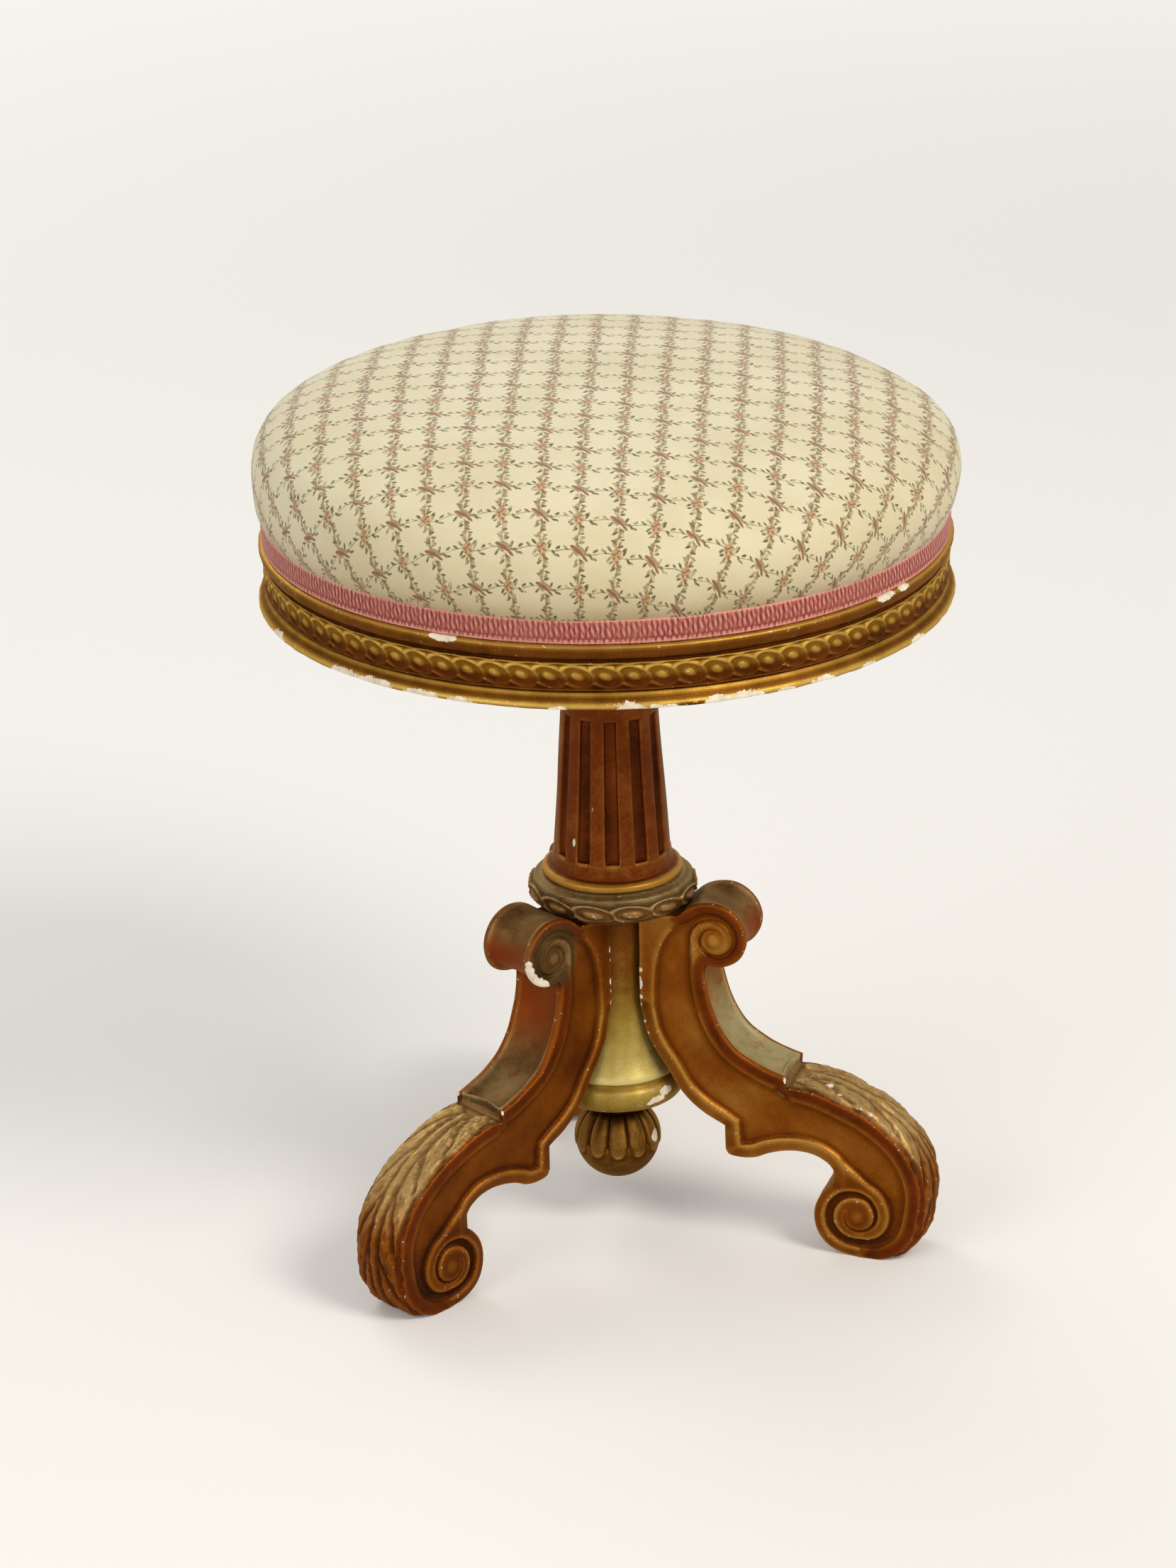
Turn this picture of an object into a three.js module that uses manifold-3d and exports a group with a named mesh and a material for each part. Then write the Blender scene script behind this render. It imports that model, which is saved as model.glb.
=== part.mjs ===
// Revolving piano stool: a stuffed round seat on a carved and gilded rail, turned up and down by
// an iron screw in a fluted column that stands on three scroll legs.
//
// Millimetres, +Z up. The origin is on the floor under the axis of the column, and one leg points
// along +Y. The seat is drawn screwed right down.

import * as THREE from 'three';
import { mergeVertices } from 'three/addons/utils/BufferGeometryUtils.js';
import Module from 'manifold-3d';

const wasm = await Module();
wasm.setup();

// Fits
const seatGap = 0.3;            // air left between two pieces that seat on each other
const overrun = 6;              // how far a cutter runs on past the face that it cuts

// Seat
const railRadius = 190;         // outer radius of the seat rail at its foot
const railBottom = 381;         // height of the rail's foot above the floor, seat screwed down
const railHeight = 35;
const railRelief = 6.5;         // depth of the deepest hollow in the rail's moulding
const railWidth = 32;           // from the outside of the rail in to its bare inner edge
const rebateWidth = 14;         // step inside the rail that the seat board lies on
const boardThickness = 18;
const gimpHeight = 13.5;        // woven braid round the foot of the cushion
const gimpThickness = 2.6;
const gimpInset = 2.2;          // how far the braid's face lies inside the rail's outer radius
const cushionOverhang = 3;      // cushion at its widest, beyond the rail's outer radius
const cushionWaist = 33;        // height of the widest place above the rail
const cushionCrown = 67.5;      // height of the crown above the widest place
const coverThickness = 3;       // cloth with its wadding
const railScrewCount = 4;
const railScrewStart = 45;      // degrees round from +X to the first of the rail's screws

// Screw mechanism
const plateThickness = 6;
const plateReach = 74;          // centre of the plate to the end of an arm
const plateArmWidth = 26;
const bossRadius = 21;
const plateArmCount = 4;
const bossDrop = 12;            // how far the boss hangs below the plate
const screwRadius = 11;         // lift screw over its thread
const spigotRadius = 8.5;       // plain end of the lift screw, held in the boss
const platePinRadius = 2.5;
const platePinTurn = 45;        // degrees; the pin lies between two arms
const washerThickness = 4;
const washerRadius = 20;
const nutLength = 30;           // barrel of the column nut below its flange
const nutWall = 5;
const nutFlangeThickness = 4;
const nutFlangeWidth = 7;       // flange beyond the barrel
const nutScrewCount = 3;
const nutScrewStart = 30;       // degrees round from +X to the first of the nut's screws
const stopHeight = 7;           // collar on the foot of the lift screw
const stopWall = 2.6;
const stopPinRadius = 1.6;
const boreSpace = 0.9;          // air round the stop collar in the column's bore
const boreFloor = 3;            // air under the lift screw's foot
const boreFootRise = 16.3;      // foot of the column up to the foot of its bore

// Column
const shaftTopRadius = 24.6;    // at the top of the flutes
const shaftFootRadius = 32.6;   // at the foot of the flutes
const fluteCount = 12;
const fluteDepth = 3;
const fluteTurn = 17;           // degrees; a flute then looks half left of the two front legs
const fluteTopDrop = 20;        // top of the column down to the top of the flutes
const fluteFootRise = 14.5;     // foot of the column up to the foot of the flutes
const capHeight = 8;            // plain block at the top of the column
const capOverhang = 3.2;        // cap beyond the top of the shaft
const footBeadRadius = 39;      // bead that the shaft stands on
const footBeadHeight = 5.2;
const tenonRadius = 12;
const tenonLength = 32;         // below the top of the hub
const collarHeight = 16.7;
const collarRadius = 47.5;

// Hub, and the ball that hangs under it
const hubTop = 197.2;           // height of the hub's top, where the collar ring seats
const hubHeight = 117.2;
const hubNeckRadius = 22.5;
const hubRingRadius = 38;
const ballRadius = 24.6;
const ballCentre = 51;          // height of the ball's centre above the floor
const ballNeckRadius = 15;
const gadroonCount = 12;
const gadroonDepth = 2.6;
const ballDowelRadius = 5;
const ballDowelReach = 24;      // length of the ball's dowel in the hub

// Legs
const legCount = 3;
const legWidth = 38;
const legReach = 181;           // axis of the column to the outermost point of a foot
const copeDepth = 2.5;          // how far a leg's inner end wraps round the hub
const headScrollRadius = 21.5;  // eye of the upper scroll straight up to its rim
const footScrollRadius = 25;    // eye of the foot scroll inwards to its rim
const scrollDecay = 0.52;       // what is left of a scroll's radius after each whole turn
const gutterDepth = 3.2;        // hollow down the front of a leg's upper half
const gutterEdge = 4.6;         // raised edge on either side of that hollow
const leafCrown = 3.4;          // swell across the carved lower half
const panelDepth = 2.4;         // sunk panel on a leg's side
const borderWidth = 8;          // raised border round that panel
const legDowelRadius = 4;
const legDowelWall = 1.5;       // wood between the column's tenon and the end of a leg's dowel
const legDowelLength = 22;

// Small screws
const screwHeadRadius = 4;
const screwHeadHeight = 2.6;
const screwShankRadius = 2;
const screwLength = 24;
const nutScrewScaleShare = 0.72;  // the nut's screws against the others
const sinkDepth = 5;            // counterbore in the rail for a screw's head

// How many sides a round piece is drawn with
const railSides = 40;
const wideSides = 32;
const shaftSides = 48;
const boltSides = 20;
const dowelSides = 10;
const screwSides = 8;
const gadroonSides = 4;         // of the ball, for each gadroon
const ballSteps = 10;           // from the ball's foot to its neck
const collarSteps = 6;          // round the outside of the collar ring
const armEndSteps = 6;          // round half the end of a plate's arm

// Heights and radii that follow from the sizes above, from the seat down
const railTop = railBottom + railHeight;
const railInnerRadius = railRadius - railWidth;
const rebateRadius = railInnerRadius + rebateWidth;
const boardRadius = rebateRadius - seatGap;
const boardBottom = railTop - boardThickness;
const gimpOuterRadius = railRadius - gimpInset;
const gimpInnerRadius = gimpOuterRadius - gimpThickness;
const gimpBottom = railTop + seatGap;
const coverFootRadius = gimpInnerRadius - seatGap;
const cushionRadius = railRadius + cushionOverhang;
const cushionWidest = railTop + cushionWaist;
const plateTop = boardBottom - seatGap;
const plateBottom = plateTop - plateThickness;
const bossBottom = plateBottom - bossDrop;
const platePinHeight = (bossBottom + plateBottom) / 2;
const plateScrewCircle = plateReach - plateArmWidth / 2;    // in the round end of each arm
const washerTop = bossBottom - seatGap;
const washerBottom = washerTop - washerThickness;
const nutTop = washerBottom - seatGap;
const nutFlangeBottom = nutTop - nutFlangeThickness;
const nutBoreRadius = screwRadius + seatGap;
const nutRadius = nutBoreRadius + nutWall;
const nutFlangeRadius = nutRadius + nutFlangeWidth;
const nutScrewCircle = nutRadius + nutFlangeWidth / 2;
const nutBottom = nutFlangeBottom - nutLength;
const columnTop = nutFlangeBottom - seatGap;
const collarBottom = hubTop + seatGap;
const collarTop = collarBottom + collarHeight;
const columnFoot = collarTop + seatGap;
// The seat rises from where the stop collar is drawn to where it meets the nut: 100 mm
const boreBottom = columnFoot + boreFootRise;
const stopRadius = screwRadius + stopWall;
const stopBottom = boreBottom + boreFloor;
const stopTop = stopBottom + stopHeight;
const stopPinHeight = (stopTop + stopBottom) / 2;
const boreRadius = stopRadius + boreSpace;
const fluteTop = columnTop - fluteTopDrop;
const fluteFoot = columnFoot + fluteFootRise;
const tenonBottom = hubTop - tenonLength;
const hubBottom = hubTop - hubHeight;
const ballTop = hubBottom - seatGap;
const ballDowelTop = hubBottom + ballDowelReach;
const ballDowelBottom = ballCentre + ballDowelRadius;
const legHalf = legWidth / 2;
const legInner = hubNeckRadius - copeDepth;
const legSpan = legReach - legInner;
const legDowelStart = tenonRadius + legDowelWall;
const legDowelHeightShares = [0.71, 0.9];    // of the height of the hub's top
const legDowelHeights = legDowelHeightShares.map((share) => share * hubTop);

// Materials, worn gilding on the carved wood
function material(color, roughness, metalness) {
  return new THREE.MeshStandardMaterial({ color, roughness, metalness, flatShading: true });
}
const gilding = () => material('#8a6226', 0.42, 0.65);
const brownGilding = () => material('#6f4216', 0.5, 0.5);
const clothFinish = () => material('#dccfa8', 0.9, 0);
const stuffingFinish = () => material('#8d7a58', 1, 0);
const braidFinish = () => material('#b8616b', 0.85, 0);
const woodFinish = () => material('#9a7445', 0.75, 0);
const ironFinish = () => material('#4a4845', 0.55, 0.8);
const steelFinish = () => material('#84827c', 0.38, 0.9);
const brassFinish = () => material('#9a7a36', 0.4, 0.85);
const leatherFinish = () => material('#5b3a22', 0.8, 0);

/** A welded solid from any closed geometry; slivers of no area, as at a pole, are left out. */
function solidOf(geometry) {
  const bare = new THREE.BufferGeometry();
  bare.setAttribute('position', geometry.attributes.position);
  bare.setIndex(geometry.index);
  const welded = mergeVertices(bare);
  const corners = [];
  for (let i = 0; i < welded.index.count; i += 3) {
    const [a, b, c] = [0, 1, 2].map((k) => welded.index.getX(i + k));
    if (a !== b && b !== c && c !== a) corners.push(a, b, c);
  }
  return new wasm.Manifold(new wasm.Mesh({
    numProp: 3,
    vertProperties: Float32Array.from(welded.attributes.position.array),
    triVerts: Uint32Array.from(corners),
  }));
}

/** The geometry of a solid, ready for a mesh. */
function geometryOf(solid) {
  const mesh = solid.getMesh();
  const geometry = new THREE.BufferGeometry();
  geometry.setAttribute('position', new THREE.BufferAttribute(mesh.vertProperties, 3));
  geometry.setIndex(new THREE.BufferAttribute(mesh.triVerts, 1));
  geometry.computeVertexNormals();
  return geometry;
}

/** A closed solid turned about +Z; the profile's [radius, height] pairs run up the outside. */
function turned(profile, sides) {
  const points = profile.map(([radius, height]) => new THREE.Vector2(radius, height));
  if (profile[0][0] > 0 || profile.at(-1)[0] > 0) points.push(points[0].clone());
  return solidOf(new THREE.LatheGeometry(points, sides).rotateX(Math.PI / 2));
}

/** A round bar or bore along +Z. */
function bar(radius, bottom, top, sides) {
  const cylinder = new THREE.CylinderGeometry(radius, radius, top - bottom, sides);
  return solidOf(cylinder.rotateX(Math.PI / 2).translate(0, 0, (bottom + top) / 2));
}

/** A round bar or bore along +X at a height, between two distances from the axis. */
function crossBar(radius, from, to, height, sides) {
  const cylinder = new THREE.CylinderGeometry(radius, radius, to - from, sides);
  return solidOf(cylinder.rotateZ(Math.PI / 2).translate((from + to) / 2, 0, height));
}

/** The same solid turned to each of some places round the axis, first place first. */
function around(solid, count, startAngle = 0) {
  const places = Array.from({ length: count }, (_, i) => startAngle + (360 * i) / count);
  return places.map((angle) => solid.rotate([0, 0, angle]));
}

/** A solid with each of a list of others cut out of it. */
function cut(solid, cutters) {
  return cutters.reduce((rest, cutter) => rest.subtract(cutter), solid);
}

/** A mesh with its name, ready to be placed. */
function piece(name, solid, finish) {
  const mesh = new THREE.Mesh(geometryOf(solid), finish);
  mesh.name = name;
  return mesh;
}

// Seat rail

// The rail's moulded face from its foot up: how far it lies back, as a share of railRelief, and
// its height, as a share of railHeight. A fillet and an ogee, a broad band for the carving, a
// hollow, and a bead under the braid.
const railFaceShares = [
  [0.2, 0], [0, 0.05], [0, 0.14], [0.3, 0.22], [0.85, 0.31], [0.45, 0.38], [0.33, 0.52],
  [0.45, 0.66], [1, 0.74], [0.9, 0.82], [0.25, 0.86], [0.15, 0.95], [0.4, 1],
];

function screwPlaces(radius, count, startAngle) {
  return Array.from({ length: count }, (_, i) => {
    const angle = THREE.MathUtils.degToRad(startAngle + (360 * i) / count);
    return [radius * Math.cos(angle), radius * Math.sin(angle)];
  });
}

const railScrewCircle = railInnerRadius + rebateWidth / 2;
const railScrewPlaces = screwPlaces(railScrewCircle, railScrewCount, railScrewStart);
const railScrewFace = railBottom + sinkDepth - seatGap - screwHeadHeight;

function seatRail() {
  const face = railFaceShares.map(([back, up]) => [
    railRadius - back * railRelief,
    railBottom + up * railHeight,
  ]);
  const inside = [
    [rebateRadius, railTop],
    [rebateRadius, boardBottom - seatGap],
    [railInnerRadius, boardBottom - seatGap],
    [railInnerRadius, railBottom],
  ];
  const sinks = railScrewPlaces.flatMap(([x, y]) => [
    bar(screwHeadRadius + seatGap, railBottom - overrun, railBottom + sinkDepth, screwSides),
    bar(screwShankRadius + seatGap, railBottom, boardBottom, screwSides),
  ].map((hole) => hole.translate([x, y, 0])));
  return cut(turned([...face, ...inside], railSides), sinks);
}

/** A screw standing head down at the origin: its head's face is at height 0. */
function woodScrew(scale = 1) {
  return turned([
    [0, 0],
    [screwHeadRadius * scale, 0],
    [screwHeadRadius * scale, screwHeadHeight * scale],
    [screwShankRadius * scale, screwHeadHeight * scale],
    [screwShankRadius * scale, screwLength * scale],
    [0, screwLength * scale],
  ], screwSides);
}

/** The hole for a screw's shank, from the height of its head's face up, by the same scale. */
function pilotHole(face, scale = 1) {
  const top = face + screwLength * scale + seatGap;
  return bar(screwShankRadius * scale + seatGap, face, top, screwSides);
}

function seatBoard() {
  const disc = bar(boardRadius, boardBottom, railTop, railSides);
  const railPilots = railScrewPlaces.map(([x, y]) => pilotHole(railScrewFace).translate([x, y, 0]));
  const platePilots = plateScrewPlaces.map(([x, y]) => (
    pilotHole(plateScrewFace).translate([x, y, 0])
  ));
  return cut(disc, [...railPilots, ...platePilots]);
}

// Cushion

// Shape of the crown: r = widest * cos(t)^crownRound, rise = crown * sin(t)^crownFlat
const crownRoundShare = 1.39;
const crownFlatShare = 0.71;
const crownSteps = 8;

// The drawn-in side below the widest place: its place between the braid's inner face and the
// widest radius, and between the rail and the widest height
const sideShares = [[0, 0], [0, 0.42], [0.35, 0.56], [0.8, 0.78]];

/** Profile of the cushion from its foot to its crown, a given depth under its surface. */
function cushionProfile(depth) {
  const radius = cushionRadius - depth;
  const foot = coverFootRadius - depth;
  const bottom = railTop + seatGap;
  const side = sideShares.map(([out, up]) => [
    foot + out * (radius - foot),
    bottom + up * (cushionWidest - bottom),
  ]);
  const crown = Array.from({ length: crownSteps + 1 }, (_, i) => {
    const t = (Math.PI / 2) * (i / crownSteps);
    const out = i === crownSteps ? 0 : radius * Math.cos(t) ** crownRoundShare;
    return [out, cushionWidest + (cushionCrown - depth) * Math.sin(t) ** crownFlatShare];
  });
  return [...side, ...crown];
}

function seatCover() {
  const inside = cushionProfile(coverThickness).reverse();
  return turned([...cushionProfile(0), ...inside], railSides);
}

function stuffingPad() {
  const profile = cushionProfile(coverThickness + seatGap);
  return turned([[0, railTop + seatGap], ...profile], railSides);
}

function gimpBraid() {
  const swell = gimpThickness / 4;
  return turned([
    [gimpOuterRadius - swell, gimpBottom],
    [gimpOuterRadius, gimpBottom + gimpHeight / 2],
    [gimpOuterRadius - swell, gimpBottom + gimpHeight],
    [gimpInnerRadius, gimpBottom + gimpHeight],
    [gimpInnerRadius, gimpBottom],
  ], railSides);
}

// Plate, lift screw and nut

const plateScrewPlaces = screwPlaces(plateScrewCircle, plateArmCount, 0);
const plateScrewFace = plateBottom - seatGap - screwHeadHeight;
const armTaperShare = 0.62;     // width of an arm at its end against its width at the boss

/** A flat arm along +X with a rounded end, tapering from the boss. */
function plateArm() {
  const rootHalf = plateArmWidth / 2;
  const endHalf = rootHalf * armTaperShare;
  const outline = new THREE.Shape();
  outline.moveTo(0, -rootHalf);
  outline.lineTo(plateReach - endHalf, -endHalf);
  outline.absarc(plateReach - endHalf, 0, endHalf, -Math.PI / 2, Math.PI / 2, false);
  outline.lineTo(0, rootHalf);
  outline.closePath();
  const flat = new THREE.ExtrudeGeometry(outline, {
    depth: plateThickness,
    bevelEnabled: false,
    curveSegments: armEndSteps,
  });
  return solidOf(flat.translate(0, 0, plateBottom));
}

function seatPlate() {
  const boss = bar(bossRadius, bossBottom, plateTop, boltSides);
  const body = around(plateArm(), plateArmCount).reduce((sum, arm) => sum.add(arm), boss);
  const spigotHole = bar(
    spigotRadius + seatGap, bossBottom - overrun, plateTop + overrun, boltSides,
  );
  const pinEnd = bossRadius + overrun;
  const pinHole = crossBar(platePinRadius + seatGap, -pinEnd, pinEnd, platePinHeight, dowelSides);
  const screwHoles = plateScrewPlaces.map(([x, y]) => (
    bar(screwShankRadius + seatGap, plateBottom - overrun, plateTop + overrun, screwSides)
      .translate([x, y, 0])
  ));
  return cut(body, [spigotHole, pinHole.rotate([0, 0, platePinTurn]), ...screwHoles]);
}

/** Plain shaft over its thread, its spigot in the boss, and a slim foot for the stop collar. */
function liftScrew() {
  const chamfer = screwRadius / 5;
  const footRadius = screwRadius - stopWall;
  const shaft = turned([
    [0, stopBottom],
    [footRadius, stopBottom],
    [footRadius, stopTop + seatGap],
    [screwRadius - chamfer, stopTop + seatGap],
    [screwRadius, stopTop + seatGap + chamfer],
    [screwRadius, bossBottom - seatGap],
    [spigotRadius, bossBottom - seatGap],
    [spigotRadius, plateTop],
    [0, plateTop],
  ], boltSides);
  const platePinHole = crossBar(
    platePinRadius + seatGap, -screwRadius, screwRadius, platePinHeight, dowelSides,
  );
  const stopPinHole = crossBar(
    stopPinRadius + seatGap, -screwRadius, screwRadius, stopPinHeight, screwSides,
  );
  return cut(shaft, [platePinHole.rotate([0, 0, platePinTurn]), stopPinHole]);
}

function platePin() {
  const half = bossRadius - seatGap;
  return crossBar(platePinRadius, -half, half, platePinHeight, dowelSides).rotate([0, 0, platePinTurn]);
}

function stopCollar() {
  const ring = bar(stopRadius, stopBottom, stopTop, boltSides);
  const hole = bar(
    screwRadius - stopWall + seatGap, stopBottom - overrun, stopTop + overrun, boltSides,
  );
  const end = stopRadius + overrun;
  return cut(ring, [hole, crossBar(stopPinRadius + seatGap, -end, end, stopPinHeight, screwSides)]);
}

function stopPin() {
  const half = stopRadius - seatGap;
  return crossBar(stopPinRadius, -half, half, stopPinHeight, screwSides);
}

function thrustWasher() {
  const ring = bar(washerRadius, washerBottom, washerTop, boltSides);
  const hole = bar(
    nutBoreRadius + seatGap, washerBottom - overrun, washerTop + overrun, boltSides,
  );
  return cut(ring, [hole]);
}

const nutScrewPlaces = screwPlaces(nutScrewCircle, nutScrewCount, nutScrewStart);

function columnNut() {
  const body = turned([
    [0, nutBottom],
    [nutRadius, nutBottom],
    [nutRadius, nutFlangeBottom],
    [nutFlangeRadius, nutFlangeBottom],
    [nutFlangeRadius, nutTop],
    [0, nutTop],
  ], boltSides);
  const sinkRadius = screwHeadRadius * nutScrewScaleShare + seatGap;
  const sinkBottom = nutTop - screwHeadHeight * nutScrewScaleShare - seatGap;
  const shankRadius = screwShankRadius * nutScrewScaleShare + seatGap;
  const holes = nutScrewPlaces.flatMap(([x, y]) => [
    bar(sinkRadius, sinkBottom, nutTop + overrun, screwSides),
    bar(shankRadius, nutFlangeBottom - seatGap, nutTop, screwSides),
  ].map((hole) => hole.translate([x, y, 0])));
  const bore = bar(nutBoreRadius, nutBottom - overrun, nutTop + overrun, boltSides);
  return cut(body, [bore, ...holes]);
}

// Column

/** Radius of the plain shaft at a height. */
function shaftRadius(height) {
  const t = (height - fluteFoot) / (fluteTop - fluteFoot);
  return shaftFootRadius + t * (shaftTopRadius - shaftFootRadius);
}

const fluteMouthShare = 0.31;   // half of a flute's mouth against the pitch of the flutes
const fluteFloorShare = 0.19;   // half of its floor against the same

/** Cutter for one flute on the +X side: a channel with sloped walls and square ends. */
function fluteCutter() {
  const block = new THREE.BoxGeometry(1, 1, 1);
  const spot = block.attributes.position;
  const pitch = (2 * Math.PI) / fluteCount;
  for (let i = 0; i < spot.count; i += 1) {
    const height = spot.getZ(i) > 0 ? fluteTop : fluteFoot;
    const radius = shaftRadius(height);
    const isMouth = spot.getX(i) > 0;
    const halfWidth = (isMouth ? fluteMouthShare : fluteFloorShare) * pitch * radius;
    const out = isMouth ? fluteDepth : -fluteDepth;
    spot.setXYZ(i, radius + out, Math.sign(spot.getY(i)) * halfWidth, height);
  }
  return solidOf(block);
}

function columnShaft() {
  const neck = shaftRadius(columnTop);
  const capBottom = columnTop - capHeight;
  const capRadius = neck + capOverhang;
  const beadTop = columnFoot + footBeadHeight;
  const flare = footBeadRadius - shaftFootRadius;
  const outside = turned([
    [0, tenonBottom + seatGap],
    [tenonRadius, tenonBottom + seatGap],
    [tenonRadius, columnFoot],
    [footBeadRadius - flare / 4, columnFoot],
    [footBeadRadius, columnFoot + footBeadHeight / 3],
    [footBeadRadius, beadTop - footBeadHeight / 3],
    [footBeadRadius - flare / 3, beadTop],
    [shaftRadius(beadTop) + flare / 6, beadTop + footBeadHeight / 4],
    [shaftRadius(fluteFoot - fluteFootRise / 4), fluteFoot - fluteFootRise / 4],
    [shaftRadius(fluteTop + capHeight / 3), fluteTop + capHeight / 3],
    [neck + capOverhang / 3, capBottom - capHeight / 4],
    [capRadius, capBottom],
    [capRadius, columnTop],
    [0, columnTop],
  ], shaftSides);
  const pocketBottom = nutBottom - seatGap;
  const bores = [
    bar(nutRadius + seatGap, pocketBottom, columnTop + overrun, boltSides),
    bar(boreRadius, boreBottom, pocketBottom + overrun, boltSides),
  ];
  const pilots = nutScrewPlaces.map(([x, y]) => (
    pilotHole(0, nutScrewScaleShare).rotate([180, 0, 0]).translate([x, y, nutTop])
  ));
  return cut(outside, [...bores, ...pilots, ...around(fluteCutter(), fluteCount, fluteTurn)]);
}

/** The collar ring's profile, grown outwards by a clearance: a torus on a flat foot. */
function collarProfile(clearance) {
  const middle = (collarBottom + collarTop) / 2;
  const rise = collarHeight / 2 + clearance;
  const swell = collarHeight / 2;
  return Array.from({ length: collarSteps + 1 }, (_, i) => {
    const t = Math.PI * (i / collarSteps - 1 / 2);
    return [collarRadius - swell + (swell + clearance) * Math.cos(t), middle + rise * Math.sin(t)];
  });
}

function collarRing() {
  const innerRadius = tenonRadius + seatGap;
  return turned([
    ...collarProfile(0),
    [innerRadius, collarTop],
    [innerRadius, collarBottom],
  ], wideSides);
}

// Hub

// The hub from its foot up: its radius as a share of the way from neck to ring, and its height as
// a share of hubHeight. A rounded ring, a groove, a bell and a long neck.
const hubShares = [
  [0.72, 0], [0.94, 0.03], [1, 0.075], [0.92, 0.125], [0.74, 0.135], [0.76, 0.15], [0.55, 0.2],
  [0.32, 0.28], [0.1, 0.4], [0, 0.52], [0, 0.92], [0.12, 1],
];

function hubProfile(clearance) {
  return hubShares.map(([out, up]) => [
    hubNeckRadius + out * (hubRingRadius - hubNeckRadius) + clearance,
    hubBottom + up * hubHeight,
  ]);
}

function hub() {
  const body = turned([[0, hubBottom], ...hubProfile(0), [0, hubTop]], wideSides);
  const mortise = bar(tenonRadius + seatGap, tenonBottom, hubTop + overrun, wideSides);
  const ballDowelHole = bar(
    ballDowelRadius + seatGap, hubBottom - overrun, ballDowelTop + seatGap, dowelSides,
  );
  const dowelHoles = legDowelHeights.flatMap((height) => around(legDowelHole(height), legCount, 90));
  return cut(body, [mortise, ballDowelHole, ...dowelHoles]);
}

function legDowelHole(height) {
  const start = legDowelStart - seatGap;
  const end = legDowelStart + legDowelLength + seatGap;
  return crossBar(legDowelRadius + seatGap, start, end, height, dowelSides);
}

/** The ball: turned, then gadrooned from its neck to just under its widest place. */
function finial() {
  const neckAngle = Math.asin(ballNeckRadius / ballRadius);
  const arc = Array.from({ length: ballSteps + 1 }, (_, i) => {
    const t = (Math.PI - neckAngle) * (i / ballSteps);
    return new THREE.Vector2(ballRadius * Math.sin(t), ballCentre - ballRadius * Math.cos(t));
  });
  const points = [...arc, new THREE.Vector2(ballNeckRadius, ballTop), new THREE.Vector2(0, ballTop)];
  const ballSides = gadroonCount * gadroonSides;
  const turnedBall = new THREE.LatheGeometry(points, ballSides).rotateX(Math.PI / 2);
  const spot = turnedBall.attributes.position;
  const smoothTop = ballCentre - ballRadius / 2;
  for (let i = 0; i < spot.count; i += 1) {
    const [x, y, z] = [spot.getX(i), spot.getY(i), spot.getZ(i)];
    const lobe = 1 - Math.abs(Math.cos((gadroonCount / 2) * Math.atan2(y, x)));
    const fade = THREE.MathUtils.smoothstep(z, smoothTop, ballCentre)
      * (z < ballTop - gadroonDepth / 2 ? 1 : 0);
    const radius = Math.hypot(x, y);
    const scale = radius > gadroonDepth ? 1 - (gadroonDepth * lobe * fade) / radius : 1;
    spot.setXYZ(i, x * scale, y * scale, z);
  }
  const dowelHole = bar(
    ballDowelRadius + seatGap, ballDowelBottom - seatGap, ballTop + overrun, dowelSides,
  );
  return solidOf(turnedBall).subtract(dowelHole);
}

function finialDowel() {
  return bar(ballDowelRadius, ballDowelBottom, ballDowelTop, dowelSides);
}

// Legs

// Places on a leg's side: the first number is a share of the way from the leg's inner end to its
// reach, the second a share of the height of the hub's top.
const headEyeShare = [0.268, 0.936];
const footEyeShare = [0.774, 0.127];
const frontUpperShares = [
  [0.233, 0.845], [0.236, 0.795], [0.252, 0.735], [0.285, 0.665], [0.34, 0.605], [0.43, 0.56],
];
const lipShare = [0.525, 0.532];
const lipFootShare = [0.522, 0.505];
const frontLowerShares = [
  [0.55, 0.507], [0.62, 0.497], [0.72, 0.467], [0.81, 0.432], [0.895, 0.38], [0.95, 0.328],
  [0.985, 0.268], [0.999, 0.2],
];
const archShares = [
  [0.688, 0.262], [0.667, 0.281], [0.62, 0.302], [0.565, 0.309], [0.505, 0.304], [0.455, 0.292],
  [0.41, 0.276], [0.36, 0.271], [0.315, 0.276], [0.3, 0.294],
];
const notchShare = [0.298, 0.365];
const bellSideShares = [
  [0.262, 0.381], [0.223, 0.4], [0.18, 0.427], [0.137, 0.466], [0.093, 0.527], [0.056, 0.573],
  [0.025, 0.624], [0.012, 0.659], [0, 0.715],
];

function legPlace([along, up]) {
  return new THREE.Vector2(legInner + along * legSpan, up * hubTop);
}

const headEye = legPlace(headEyeShare);
const footEye = legPlace(footEyeShare);

/**
 * A place on a scroll round an eye. Its radius shrinks by scrollDecay in each whole turn; the
 * angle runs clockwise from straight up, in degrees.
 */
function scrollPlace(eye, radius, fromAngle, angle, share = 1) {
  const shrunk = radius * scrollDecay ** ((angle - fromAngle) / 360) * share;
  const turn = THREE.MathUtils.degToRad(angle);
  return new THREE.Vector2(eye.x + shrunk * Math.sin(turn), eye.y + shrunk * Math.cos(turn));
}
const headScroll = (angle, share) => scrollPlace(headEye, headScrollRadius, 0, angle, share);
const footScroll = (angle, share) => scrollPlace(footEye, footScrollRadius, 270, angle, share);

/** Places from one angle of a scroll to another. */
function sweep(scroll, from, to, steps, share) {
  return Array.from({ length: steps + 1 }, (_, i) => scroll(from + ((to - from) * i) / steps, share));
}

/** A smooth line through some places, drawn with a number of steps. */
function smooth(places, steps) {
  return new THREE.SplineCurve(places).getPoints(steps);
}

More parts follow.
